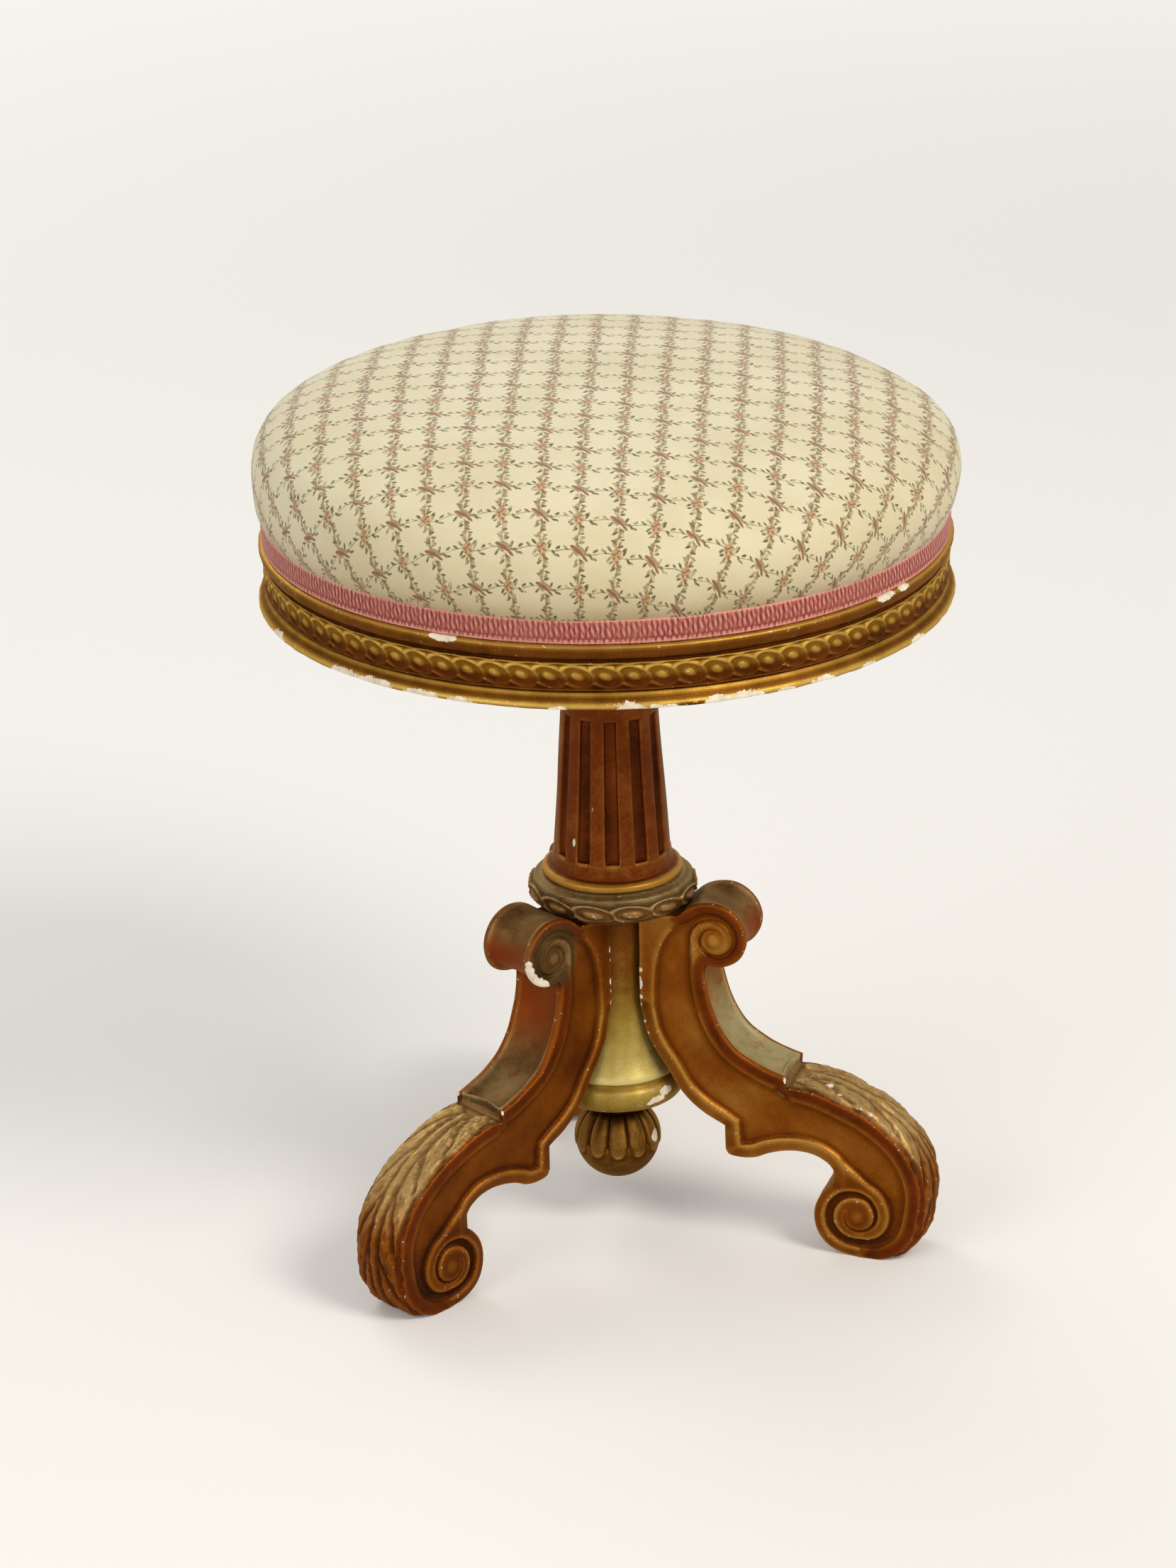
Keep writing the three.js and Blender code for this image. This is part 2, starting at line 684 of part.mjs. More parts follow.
// Angles on the scrolls, in degrees
const headStart = -52;          // just outside the collar ring
const headEnd = 198;
const footStart = 95;
const floorStart = 145;         // where the foot scroll comes down to the floor
const floorEnd = 207;
const footEnd = 322;
const headGrooveStart = -95;
const headGrooveEnd = 395;
const footGrooveStart = 18;
const footGrooveEnd = 500;

const grooveShare = 0.76;       // outer edge of a scroll's groove against the scroll's radius
const gutterRunShare = 1 / 3;   // of the head scroll, over which the gutter deepens
const leafRunShares = [1 / 6, 1 / 4];   // of the leaf, over which it swells and sinks again

// How many steps each line of a leg is drawn with
const headSteps = 14;
const upperSteps = 7;
const lowerSteps = 10;
const toFloorSteps = 3;
const footSteps = 7;
const archSteps = 11;
const bellSideSteps = 7;
const grooveSteps = 14;

/**
 * The outline of a leg's side, from the top of its inner end over the head scroll, down the front,
 * round the foot and back along the underside. Each place says how much of the front's gutter and
 * of the leaf's swell it has.
 */
function legOutline() {
  const plain = (place) => ({ place, gutter: 0, swell: 0 });
  const hollow = (place, i, all) => (
    { place, gutter: Math.min(1, i / all.length / gutterRunShare), swell: 0 }
  );
  const leaf = (place, i, all) => {
    const t = i / (all.length - 1);
    return { place, gutter: 0, swell: Math.min(1, t / leafRunShares[0], (1 - t) / leafRunShares[1]) };
  };
  const floored = (place) => new THREE.Vector2(place.x, Math.max(place.y, 0));
  const head = sweep(headScroll, headStart, headEnd, headSteps);
  const upper = smooth([...frontUpperShares, lipShare].map(legPlace), upperSteps);
  const lower = smooth([...frontLowerShares.map(legPlace), footScroll(footStart)], lowerSteps);
  const toFloor = sweep(footScroll, footStart, floorStart, toFloorSteps).slice(1).map(floored);
  const foot = sweep(footScroll, floorEnd, footEnd, footSteps).map(floored);
  return [
    plain(new THREE.Vector2(legInner, hubTop)),
    plain(new THREE.Vector2(headScroll(headStart).x - copeDepth, hubTop)),
    ...head.map(hollow),
    ...upper.map((place) => ({ place, gutter: 1, swell: 0 })),
    plain(legPlace(lipFootShare)),
    ...[...lower, ...toFloor].map(leaf),
    ...foot.map(plain),
    ...smooth(archShares.map(legPlace), archSteps).map(plain),
    plain(legPlace(notchShare)),
    ...smooth(bellSideShares.map(legPlace), bellSideSteps).map(plain),
  ];
}

/** Outward direction at each place of a closed outline that runs clockwise. */
function outwards(places) {
  return places.map((place, i) => {
    const before = places.at(i - 1);
    const after = places[(i + 1) % places.length];
    const along = after.clone().sub(place).normalize().add(place.clone().sub(before).normalize());
    return new THREE.Vector2(-along.y, along.x).normalize();
  });
}

/**
 * The plain leg, lofted across its width: each station is the side outline, sunk in the middle
 * along the gutter and swelled in the middle along the leaf.
 */
function legLoft() {
  const outline = legOutline();
  const places = outline.map(({ place }) => place);
  const normals = outwards(places);
  const hollowHalf = legHalf - gutterEdge;
  const acrossShares = [-1, -0.55, 0, 0.55, 1];
  const stations = [-legHalf, ...acrossShares.map((share) => share * hollowHalf), legHalf];
  const corners = stations.flatMap((y) => outline.flatMap(({ place, gutter, swell }, i) => {
    const sink = gutter * gutterDepth * Math.max(0, 1 - (y / hollowHalf) ** 2);
    const rise = swell * leafCrown * (1 - (y / legHalf) ** 2);
    const at = place.clone().addScaledVector(normals[i], rise - sink);
    return [at.x, y, at.y];
  }));
  const count = outline.length;
  const faces = [];
  for (let j = 0; j + 1 < stations.length; j += 1) {
    for (let i = 0; i < count; i += 1) {
      const next = (i + 1) % count;
      const [a, b] = [j * count + i, j * count + next];
      const [c, d] = [b + count, a + count];
      faces.push(a, b, c, a, c, d);
    }
  }
  const last = (stations.length - 1) * count;
  for (const [a, b, c] of THREE.ShapeUtils.triangulateShape(places, [])) {
    faces.push(a, b, c, last + a, last + c, last + b);
  }
  const geometry = new THREE.BufferGeometry();
  geometry.setAttribute('position', new THREE.Float32BufferAttribute(corners, 3));
  geometry.setIndex(faces);
  return solidOf(geometry);
}

/** An open line moved sideways, to the right of its own direction for a positive distance. */
function beside(places, distance) {
  return places.map((place, i) => {
    const before = places[Math.max(0, i - 1)];
    const after = places[Math.min(places.length - 1, i + 1)];
    const along = after.clone().sub(before).normalize();
    return place.clone().add(new THREE.Vector2(along.y, -along.x).multiplyScalar(distance));
  });
}

/**
 * Outline of the sunk panel: from the front border round into the head scroll and out again, down
 * the inner end, along the underside border, and into the foot scroll and out again. A scroll's
 * groove lies between a share of its radius and the next turn in.
 */
function panelOutline() {
  const lowerPlaces = [...frontLowerShares.map(legPlace), footScroll(footStart)];
  const upperPlaces = [...frontUpperShares, lipShare].map(legPlace);
  const upper = beside(smooth(upperPlaces, upperSteps), borderWidth);
  const lower = beside(smooth(lowerPlaces, lowerSteps), borderWidth);
  const arch = beside(smooth(archShares.slice(0, -2).map(legPlace), archSteps), borderWidth);
  const bellSide = beside(smooth(bellSideShares.map(legPlace), bellSideSteps), borderWidth);
  const notch = legPlace(notchShare).add(new THREE.Vector2(borderWidth, borderWidth / 2));
  const shoulder = new THREE.Vector2(legInner + borderWidth, hubTop - borderWidth);
  return [
    ...sweep(headScroll, headGrooveStart, headGrooveEnd, grooveSteps, scrollDecay),
    ...sweep(headScroll, headGrooveEnd, headStart, grooveSteps, grooveShare),
    shoulder,
    ...bellSide.reverse(),
    notch,
    ...arch.reverse(),
    ...sweep(footScroll, footGrooveStart, footGrooveEnd, grooveSteps, scrollDecay),
    ...sweep(footScroll, footGrooveEnd, footStart, grooveSteps, grooveShare),
    ...lower.reverse().slice(1),
    ...upper.reverse().slice(1),
  ];
}

/** Cutters for the sunk panels on both sides of a leg. */
function panelCutters() {
  const flat = new THREE.ExtrudeGeometry(new THREE.Shape(panelOutline()), {
    depth: panelDepth + overrun,
    bevelEnabled: false,
  }).rotateX(Math.PI / 2);
  const near = solidOf(flat.clone().translate(0, panelDepth - legHalf, 0));
  const far = solidOf(flat.translate(0, legHalf + overrun, 0));
  return [near, far];
}

/** A leg that points along +X, fitted to the hub and under the collar ring. */
function leg() {
  const hubSpace = turned(
    [[0, hubBottom], ...hubProfile(seatGap), [0, hubTop]], wideSides,
  );
  const collarSpace = turned(
    [...collarProfile(seatGap), [0, collarTop + seatGap], [0, collarBottom - seatGap]], wideSides,
  );
  return cut(legLoft(), [
    ...panelCutters(),
    hubSpace,
    collarSpace,
    ...legDowelHeights.map(legDowelHole),
  ]);
}

function legDowel() {
  return crossBar(legDowelRadius, legDowelStart, legDowelStart + legDowelLength, 0, dowelSides);
}

// Assembly

const stool = new THREE.Group();

// What stands still
const base = new THREE.Group();
base.add(piece('column_shaft', columnShaft(), brownGilding()));
base.add(piece('collar_ring', collarRing(), gilding()));
base.add(piece('hub', hub(), gilding()));
base.add(piece('finial', finial(), gilding()));
base.add(piece('finial_dowel', finialDowel(), woodFinish()));
base.add(piece('column_nut', columnNut(), brassFinish()));
nutScrewPlaces.forEach(([x, y], i) => {
  const screw = piece(`nut_screw_${i + 1}`, woodScrew(nutScrewScaleShare), steelFinish());
  screw.position.set(x, y, nutTop);
  screw.rotation.x = Math.PI;
  base.add(screw);
});
const legSolid = leg();
for (let i = 0; i < legCount; i += 1) {
  const turnedLeg = new THREE.Group();
  turnedLeg.rotation.z = Math.PI / 2 + (2 * Math.PI * i) / legCount;
  turnedLeg.add(piece(`leg_${i + 1}`, legSolid, brownGilding()));
  legDowelHeights.forEach((height, j) => {
    const dowel = piece(`leg_dowel_${i + 1}_${j + 1}`, legDowel(), woodFinish());
    dowel.position.z = height;
    turnedLeg.add(dowel);
  });
  base.add(turnedLeg);
}
stool.add(base);

// What rises with the seat but does not turn
stool.add(piece('thrust_washer', thrustWasher(), leatherFinish()));

// What rises and turns
const seat = new THREE.Group();
seat.add(piece('seat_cover', seatCover(), clothFinish()));
seat.add(piece('stuffing_pad', stuffingPad(), stuffingFinish()));
seat.add(piece('gimp_braid', gimpBraid(), braidFinish()));
seat.add(piece('seat_rail', seatRail(), gilding()));
seat.add(piece('seat_board', seatBoard(), woodFinish()));
seat.add(piece('seat_plate', seatPlate(), ironFinish()));
seat.add(piece('lift_screw', liftScrew(), steelFinish()));
seat.add(piece('plate_pin', platePin(), steelFinish()));
seat.add(piece('stop_collar', stopCollar(), steelFinish()));
seat.add(piece('stop_pin', stopPin(), steelFinish()));
railScrewPlaces.forEach(([x, y], i) => {
  const screw = piece(`rail_screw_${i + 1}`, woodScrew(), steelFinish());
  screw.position.set(x, y, railScrewFace);
  seat.add(screw);
});
plateScrewPlaces.forEach(([x, y], i) => {
  const screw = piece(`plate_screw_${i + 1}`, woodScrew(), steelFinish());
  screw.position.set(x, y, plateScrewFace);
  seat.add(screw);
});
stool.add(seat);

export default stool;
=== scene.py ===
# %% [markdown]
# # A revolving piano stool
#
# The stool has a round stuffed seat on a carved and gilded rail. An iron screw under the seat
# turns in a nut at the top of a fluted column, so the seat goes up and down as it is turned. The
# column stands on three scroll legs. This lesson makes each piece as a surface worked out with
# numpy, and gives each its finish from nodes. The bare solids come first, as a frame to build on.

# %% Load the frame
import math

import bmesh
import bpy
import numpy as np
from mathutils import Matrix, Vector
from mathutils.geometry import delaunay_2d_cdt


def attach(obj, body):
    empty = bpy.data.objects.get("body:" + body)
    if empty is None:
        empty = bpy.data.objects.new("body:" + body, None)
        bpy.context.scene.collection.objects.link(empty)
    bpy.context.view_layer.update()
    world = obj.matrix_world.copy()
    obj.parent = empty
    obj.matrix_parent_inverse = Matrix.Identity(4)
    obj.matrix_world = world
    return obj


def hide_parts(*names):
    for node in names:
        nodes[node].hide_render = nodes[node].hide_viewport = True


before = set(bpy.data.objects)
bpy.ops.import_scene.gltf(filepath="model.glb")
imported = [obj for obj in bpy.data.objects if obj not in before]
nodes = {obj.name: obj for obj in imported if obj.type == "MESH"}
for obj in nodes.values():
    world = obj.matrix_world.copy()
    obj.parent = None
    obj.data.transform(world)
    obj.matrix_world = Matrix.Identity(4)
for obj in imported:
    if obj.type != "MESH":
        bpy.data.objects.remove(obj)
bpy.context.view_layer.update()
MM = 0.001

# %% [markdown]
# ## The camera
#
# The camera stands nearly a metre above the seat, and looks down at it from about three metres
# away through a long lens. It comes first, so that every later piece can be looked at from where
# the real stool was seen.

# %% Camera
def placed(name, data):
    """A new object of the scene that shows a mesh, a lamp or a camera."""
    made = bpy.data.objects.new(name, data)
    bpy.context.scene.collection.objects.link(made)
    return made


SENSOR_SIDE = 36.0              # millimetres on the picture's long side
FOCAL_LENGTH = 129.9
FACING = 257                    # degrees round from +X to the side that the camera looks at
CAMERA_AROUND = math.radians(-13)   # the camera's right, from +X
CAMERA_DISTANCE = 2.9171
CAMERA_HEIGHT = 1.4208
CAMERA_PITCH = math.radians(21.609)
CAMERA_YAW = math.radians(-0.249)
CAMERA_ROLL = -0.0214

camera_data = bpy.data.cameras.new("camera")
camera_data.sensor_fit = "VERTICAL"
camera_data.sensor_height = SENSOR_SIDE
camera_data.sensor_width = SENSOR_SIDE
camera_data.lens = FOCAL_LENGTH
camera = placed("camera", camera_data)
bpy.context.scene.camera = camera

forward = Vector((math.sin(CAMERA_YAW) * math.cos(CAMERA_PITCH),
                  math.cos(CAMERA_YAW) * math.cos(CAMERA_PITCH), -math.sin(CAMERA_PITCH)))
level = Vector((math.cos(CAMERA_YAW), -math.sin(CAMERA_YAW), 0))
upward = level.cross(forward)
right = math.cos(CAMERA_ROLL) * level + math.sin(CAMERA_ROLL) * upward
above = -math.sin(CAMERA_ROLL) * level + math.cos(CAMERA_ROLL) * upward
turn = Matrix((right, above, -forward)).transposed().to_4x4()
place = Matrix.Translation((0, -CAMERA_DISTANCE, CAMERA_HEIGHT)) @ turn
camera.matrix_world = Matrix.Rotation(CAMERA_AROUND, 4, "Z") @ place
print("camera at", [round(v, 3) for v in camera.matrix_world.translation])

# %% [markdown]
# ## Tools for surfaces
#
# Nearly every piece here is one of two things: a profile turned about the column's axis, with
# carving that lifts or sinks it, or a strip carried along a line. Both are a grid of corners, so
# one helper makes the faces of any grid and another puts corners and faces into a mesh. Sizes are
# in millimetres until the last step, as a carver would give them.

# %% Grid and mesh helpers
def grid_faces(rows, columns, wrap_rows=False, wrap_columns=False):
    """Four-sided faces between the corners of a grid stored row by row: each corner joins the
    next in its row, and both join the same places in the next row. A wrapped grid closes."""
    row, column = np.meshgrid(np.arange(rows if wrap_rows else rows - 1),
                              np.arange(columns if wrap_columns else columns - 1), indexing="ij")
    next_row, next_column = (row + 1) % rows, (column + 1) % columns
    return np.stack([row * columns + column, row * columns + next_column,
                     next_row * columns + next_column, next_row * columns + column],
                    axis=-1).reshape(-1, 4)


def new_piece(name, corners, faces):
    """An object with its place in its mesh: corners in millimetres, and a list of face arrays,
    each with the same number of corners in all its rows."""
    mesh = bpy.data.meshes.new(name)
    mesh.vertices.add(len(corners))
    mesh.vertices.foreach_set("co", (np.asarray(corners, float) * MM).ravel())
    sides = np.concatenate([np.full(len(part), part.shape[1]) for part in faces])
    mesh.loops.add(int(sides.sum()))
    mesh.loops.foreach_set("vertex_index", np.concatenate([part.ravel() for part in faces]))
    mesh.polygons.add(len(sides))
    mesh.polygons.foreach_set("loop_start", np.concatenate([[0], np.cumsum(sides)[:-1]]))
    mesh.update(calc_edges=True)
    mesh.validate()
    shade_smooth(mesh)
    return placed(name, mesh)


def settle(piece, body, slot, finish, *stands_for):
    """Gives a piece its finish, puts it under the body that it rides on, and hides the solids that it
    stands for.
    """
    piece.data.materials.clear()
    piece.data.materials.append(finish)
    if stands_for:
        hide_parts(*stands_for)
    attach(piece, body)
    piece.data.calc_loop_triangles()
    print(piece.name, len(piece.data.loop_triangles), "triangles on", body)


def numbers_of(items, key, width, kind=float):
    """What all the corners, edges or loops of a mesh hold under a key, a row for each."""
    values = np.empty(len(items) * width, kind)
    items.foreach_get(key, values)
    return values.reshape(-1, width)


def corners_of(piece):
    """The places of a mesh's corners, in millimetres."""
    return numbers_of(piece.data.vertices, "co", 3) / MM


def round_axis(places):
    """The angle of each place round the column's axis, in radians."""
    return np.arctan2(places[:, 1], places[:, 0])


def shade_smooth(mesh):
    mesh.polygons.foreach_set("use_smooth", np.ones(len(mesh.polygons), bool))


def keep_modifiers(piece):
    """Turns what a piece's modifiers show into its own mesh."""
    evaluated = piece.evaluated_get(bpy.context.evaluated_depsgraph_get())
    mesh = bpy.data.meshes.new_from_object(evaluated)
    piece.modifiers.clear()
    piece.data = mesh


# %% Lines and easing
def straight(places, step):
    """A line through some places with a new place every step or less, corners kept."""
    places = np.asarray(places, float)
    parts = [places[:1]]
    for start, end in zip(places[:-1], places[1:]):
        count = max(1, math.ceil(np.linalg.norm(end - start) / step))
        share = np.linspace(0, 1, count + 1)[1:, None]
        parts.append(start + share * (end - start))
    return np.concatenate(parts)


def smooth(places, count):
    """A smooth line through some places: between two of them, the cubic whose slope at each end
    is half the way from the place before to the place after."""
    places = np.asarray(places, float)
    padded = np.concatenate([places[:1], places, places[-1:]])
    along = np.linspace(0, len(places) - 1, count + 1)
    start = np.minimum(along.astype(int), len(places) - 2)
    t = (along - start)[:, None]
    p0, p1, p2, p3 = (padded[start + k] for k in range(4))
    slope1, slope2 = (p2 - p0) / 2, (p3 - p1) / 2
    return ((2 * p1 - 2 * p2 + slope1 + slope2) * t ** 3
            + (3 * p2 - 3 * p1 - 2 * slope1 - slope2) * t ** 2 + slope1 * t + p1)


def ease(value, low, high):
    """0 below low, 1 above high, and a smooth rise between them."""
    t = np.clip((value - low) / (high - low), 0, 1)
    return t * t * (3 - 2 * t)


def ripple(places, size, seed):
    """Uneven hand work, mostly from -1 to 1: twice the mean of eight sine waves of one size, each
    in a direction and from a start of its own."""
    draw = np.random.default_rng(seed)
    waves = draw.normal(size=(8, 3))
    waves *= 2 * math.pi / size / np.linalg.norm(waves, axis=1)[:, None]
    starts = draw.uniform(0, 2 * math.pi, 8)
    return np.sin(places @ waves.T + starts).mean(axis=-1) * 2


# %% [markdown]
# A turned piece is its profile carried round the axis. Carving on it is a height that depends on
# the angle and on the place along the profile, added along the profile's own outward direction.
# That is simpler than cutting: the grid only bends, and the mesh stays closed.

# %% Turned pieces
def turned(name, profile, angles, relief=None):
    """A closed surface round the axis. Each corner is (r cos a, r sin a, z), where r and z are the
    profile's, moved by relief(a, distance along the profile, r, z) along its outward direction.
    The profile runs up the outside; it closes on itself, or else starts and ends on the axis."""
    profile = np.asarray(profile, float)
    on_axis = profile[0, 0] == 0 and profile[-1, 0] == 0
    after, before = np.roll(profile, -1, axis=0), np.roll(profile, 1, axis=0)
    if on_axis:
        after[-1], before[0] = profile[-1], profile[0]
    way = after - before
    way /= np.maximum(np.linalg.norm(way, axis=1), 1e-9)[:, None]
    steps = np.linalg.norm(np.diff(profile, axis=0), axis=1)
    along = np.concatenate([[0], np.cumsum(steps)])[:, None]
    radius, height = profile[:, :1], profile[:, 1:]
    rise = 0 if relief is None else relief(angles[None, :], along, radius, height)
    r = np.broadcast_to(radius + way[:, 1:] * rise, (len(profile), len(angles)))
    z = np.broadcast_to(height - way[:, :1] * rise, r.shape)
    corners = np.stack([r * np.cos(angles), r * np.sin(angles), z], axis=-1)
    if not on_axis:
        faces = grid_faces(*r.shape, wrap_rows=True, wrap_columns=True)
        return new_piece(name, corners.reshape(-1, 3), [faces])
    around = len(angles)
    rings = corners[1:-1].reshape(-1, 3)
    poles = np.array([[0, 0, profile[0, 1]], [0, 0, profile[-1, 1]]])
    here = np.arange(around)
    there = (here + 1) % around
    last = len(rings) - around
    foot = np.stack([there, here, np.full(around, len(rings))], axis=-1)
    crown = np.stack([last + here, last + there, np.full(around, len(rings) + 1)], axis=-1)
    sides = grid_faces(len(profile) - 2, around, wrap_columns=True)
    return new_piece(name, np.concatenate([rings, poles]), [sides, foot, crown])


def circle(count, start=0.0):
    """Angles of a number of equal steps round the axis, in radians."""
    return start + np.linspace(0, 2 * math.pi, count, endpoint=False)


def off_angle(angle, centre):
    """How far an angle is from another, the short way round, in radians."""
    return (angle - centre + math.pi) % (2 * math.pi) - math.pi


# %% [markdown]
# ## Wear as numbers on the mesh
#
# Old gilding is bright where hands and dusters rub it, and dark where dirt stays. Both follow
# the shape, so the shape can say where they are: a corner that stands out of its surroundings is
# rubbed, and one that lies in a hollow is not. Each gilded mesh carries this as an attribute that
# its finish reads. A second attribute says where the white ground under the gold has come off.

# %% Attributes for wear and chips
def stand_out(piece, rounds):
    """How far each corner stands out of its surroundings, in millimetres: its distance, along its
    normal, above an average of its neighbours that is taken again in each round."""
    mesh = piece.data
    first, second = numbers_of(mesh.edges, "vertices", 2, int).T
    normals = numbers_of(mesh.vertices, "normal", 3)
    places = corners_of(piece)
    total = len(places)
    partners = np.bincount(first, minlength=total) + np.bincount(second, minlength=total)
    mean = places.copy()
    for _ in range(rounds):
        for axis in range(3):
            summed = (np.bincount(first, mean[second, axis], total)
                      + np.bincount(second, mean[first, axis], total))
            mean[:, axis] = (mean[:, axis] + summed / np.maximum(partners, 1)) / 2
    return ((places - mean) * normals).sum(axis=1)


def mark(piece, name, values):
    """Keeps one number for each corner of a mesh under a name."""
    layer = piece.data.attributes.new(name, "FLOAT", "POINT")
    layer.data.foreach_set("value", np.asarray(values, np.float32))


def spots(places, chips):
    """1 in the middle of each chip, falling to 0 at its edge. A chip is a centre and its reach
    along x, y and z, in millimetres."""
    near = np.zeros(len(places))
    for centre, reach in chips:
        far = np.linalg.norm((places - centre) / reach, axis=1)
        near = np.maximum(near, 1 - far)
    return near


WEAR_DEPTH = 0.5                # millimetres of relief that count as fully rubbed or dark


def mark_wear(piece, chips=(), rounds=24, red=0.0, green=0.0, tone=0.0, calm=0.0):
    """Gives a gilded mesh what its finish reads: wear, less where it is calm, chips, how red or
    green it is, and its tone, above 0 where it is lighter."""
    places = corners_of(piece)
    mark(piece, "wear_and_shading", np.clip(stand_out(piece, rounds) / WEAR_DEPTH, -1, 1) * (1 - calm))
    mark(piece, "chip", spots(places, chips))
    mark(piece, "tone", np.broadcast_to(tone, len(places)))
    mark(piece, "red", np.broadcast_to(red, len(places)))
    mark(piece, "green", np.broadcast_to(green, len(places)))


# %% [markdown]
# ## Finishes
#
# A finish is a small tree of nodes. These helpers add one node at a time and take sockets or
# plain values for its inputs, so that a finish below reads like a recipe.

# %% Node helpers
def put(tree, kind, *inputs, out=0, **settings):
    """Adds a node with its settings. Each input is a socket to link, a value, or None."""
    made = tree.nodes.new(kind)
    for key, value in settings.items():
        setattr(made, key, value)
    for socket, value in zip(made.inputs, inputs):
        if isinstance(value, bpy.types.NodeSocket):
            tree.links.new(value, socket)
        elif value is not None:
            socket.default_value = value
    return made.outputs[out]


def maths(tree, operation, *inputs, clamp=False):
    return put(tree, "ShaderNodeMath", *inputs, operation=operation, use_clamp=clamp)


def times(tree, first, second):
    return maths(tree, "MULTIPLY", first, second)


def scaled(tree, value, share, more, clamp=False):
    """A value times a share, and something more."""
    return maths(tree, "MULTIPLY_ADD", value, share, more, clamp=clamp)


def vectors(tree, operation, *inputs, out=0):
    return put(tree, "ShaderNodeVectorMath", *inputs, out=out, operation=operation)


def between(tree, value, low, high, new_low=0.0, new_high=1.0):
    """A value carried smoothly from one range to another, held at both ends."""
    return put(tree, "ShaderNodeMapRange", value, low, high, new_low, new_high,
               interpolation_type="SMOOTHSTEP")


def tint(hex_code):
    """A colour as a painter writes it, in the shader's linear values."""
    part = [int(hex_code[i:i + 2], 16) / 255 for i in (1, 3, 5)]
    return tuple(p / 12.92 if p <= 0.04045 else ((p + 0.055) / 1.055) ** 2.4 for p in part) + (1,)


def mixed(tree, share, first, second, mode="MIX"):
    """Two colours mixed by a share."""
    made = tree.nodes.new("ShaderNodeMix")
    made.data_type = "RGBA"
    made.blend_type = mode
    for index, value in ((0, share), (6, first), (7, second)):
        if isinstance(value, bpy.types.NodeSocket):
            tree.links.new(value, made.inputs[index])
        else:
            made.inputs[index].default_value = value
    return made.outputs[2]


def ramp(tree, value, *stops):
    """A colour for each value: stops are (value, colour)."""
    made = tree.nodes.new("ShaderNodeValToRGB")
    while len(made.color_ramp.elements) < len(stops):
        made.color_ramp.elements.new(1.0)
    for element, (at, colour) in zip(made.color_ramp.elements, stops):
        element.position = at
        element.color = tint(colour)
    tree.links.new(value, made.inputs[0])
    return made.outputs[0]


def noise(tree, coordinates, size, detail=4.0, roughness=0.55, stretch=None):
    """Soft noise whose patches are about size millimetres across; stretch lengthens them."""
    if stretch is not None:
        coordinates = put(tree, "ShaderNodeMapping", coordinates, None, None,
                          tuple(1 / s for s in stretch))
    return put(tree, "ShaderNodeTexNoise", coordinates, None, 1 / (size * MM), detail, roughness)


def new_finish(name):
    """A material with its tree, its shader and the object's own coordinates."""
    finish = bpy.data.materials.new(name)
    finish.use_nodes = True
    tree = finish.node_tree
    shader = tree.nodes["Principled BSDF"]
    coordinates = put(tree, "ShaderNodeTexCoord", out=3)
    return finish, tree, shader, coordinates


def wire(tree, shader, **inputs):
    """Links sockets or sets values on the shader, by the names of its inputs."""
    for name, value in inputs.items():
        socket = shader.inputs[name.replace("_", " ")]
        if isinstance(value, bpy.types.NodeSocket):
            tree.links.new(value, socket)
        else:
            socket.default_value = value


def bump(tree, height, strength, depth):
    """A bump of a depth in millimetres from a height of 0 to 1."""
    made = tree.nodes.new("ShaderNodeBump")
    made.inputs["Strength"].default_value = strength
    made.inputs["Distance"].default_value = depth * MM
    tree.links.new(height, made.inputs["Height"])
    return made.outputs[0]


def attribute(tree, name):
    """An attribute of the mesh, as one number."""
    made = tree.nodes.new("ShaderNodeAttribute")
    made.attribute_name = name
    return made.outputs["Fac"]


# %% [markdown]
# **Old gilding.** Gold leaf lies on red clay, the clay on white chalk ground, and that on carved
# wood. The leaf is rubbed bright on what stands out, browned by old varnish on the flats, and
# near black in the hollows. Where it is rubbed through, the clay shows red; where it is knocked
# off, the white ground shows. One recipe with a few colours serves all the gilded pieces.

# %% Gilding
GESSO = "#efe4cf"
CLAY = "#7d2f0c"
PATINA, PALE_PATINA = "#574b2a", "#a3966a"


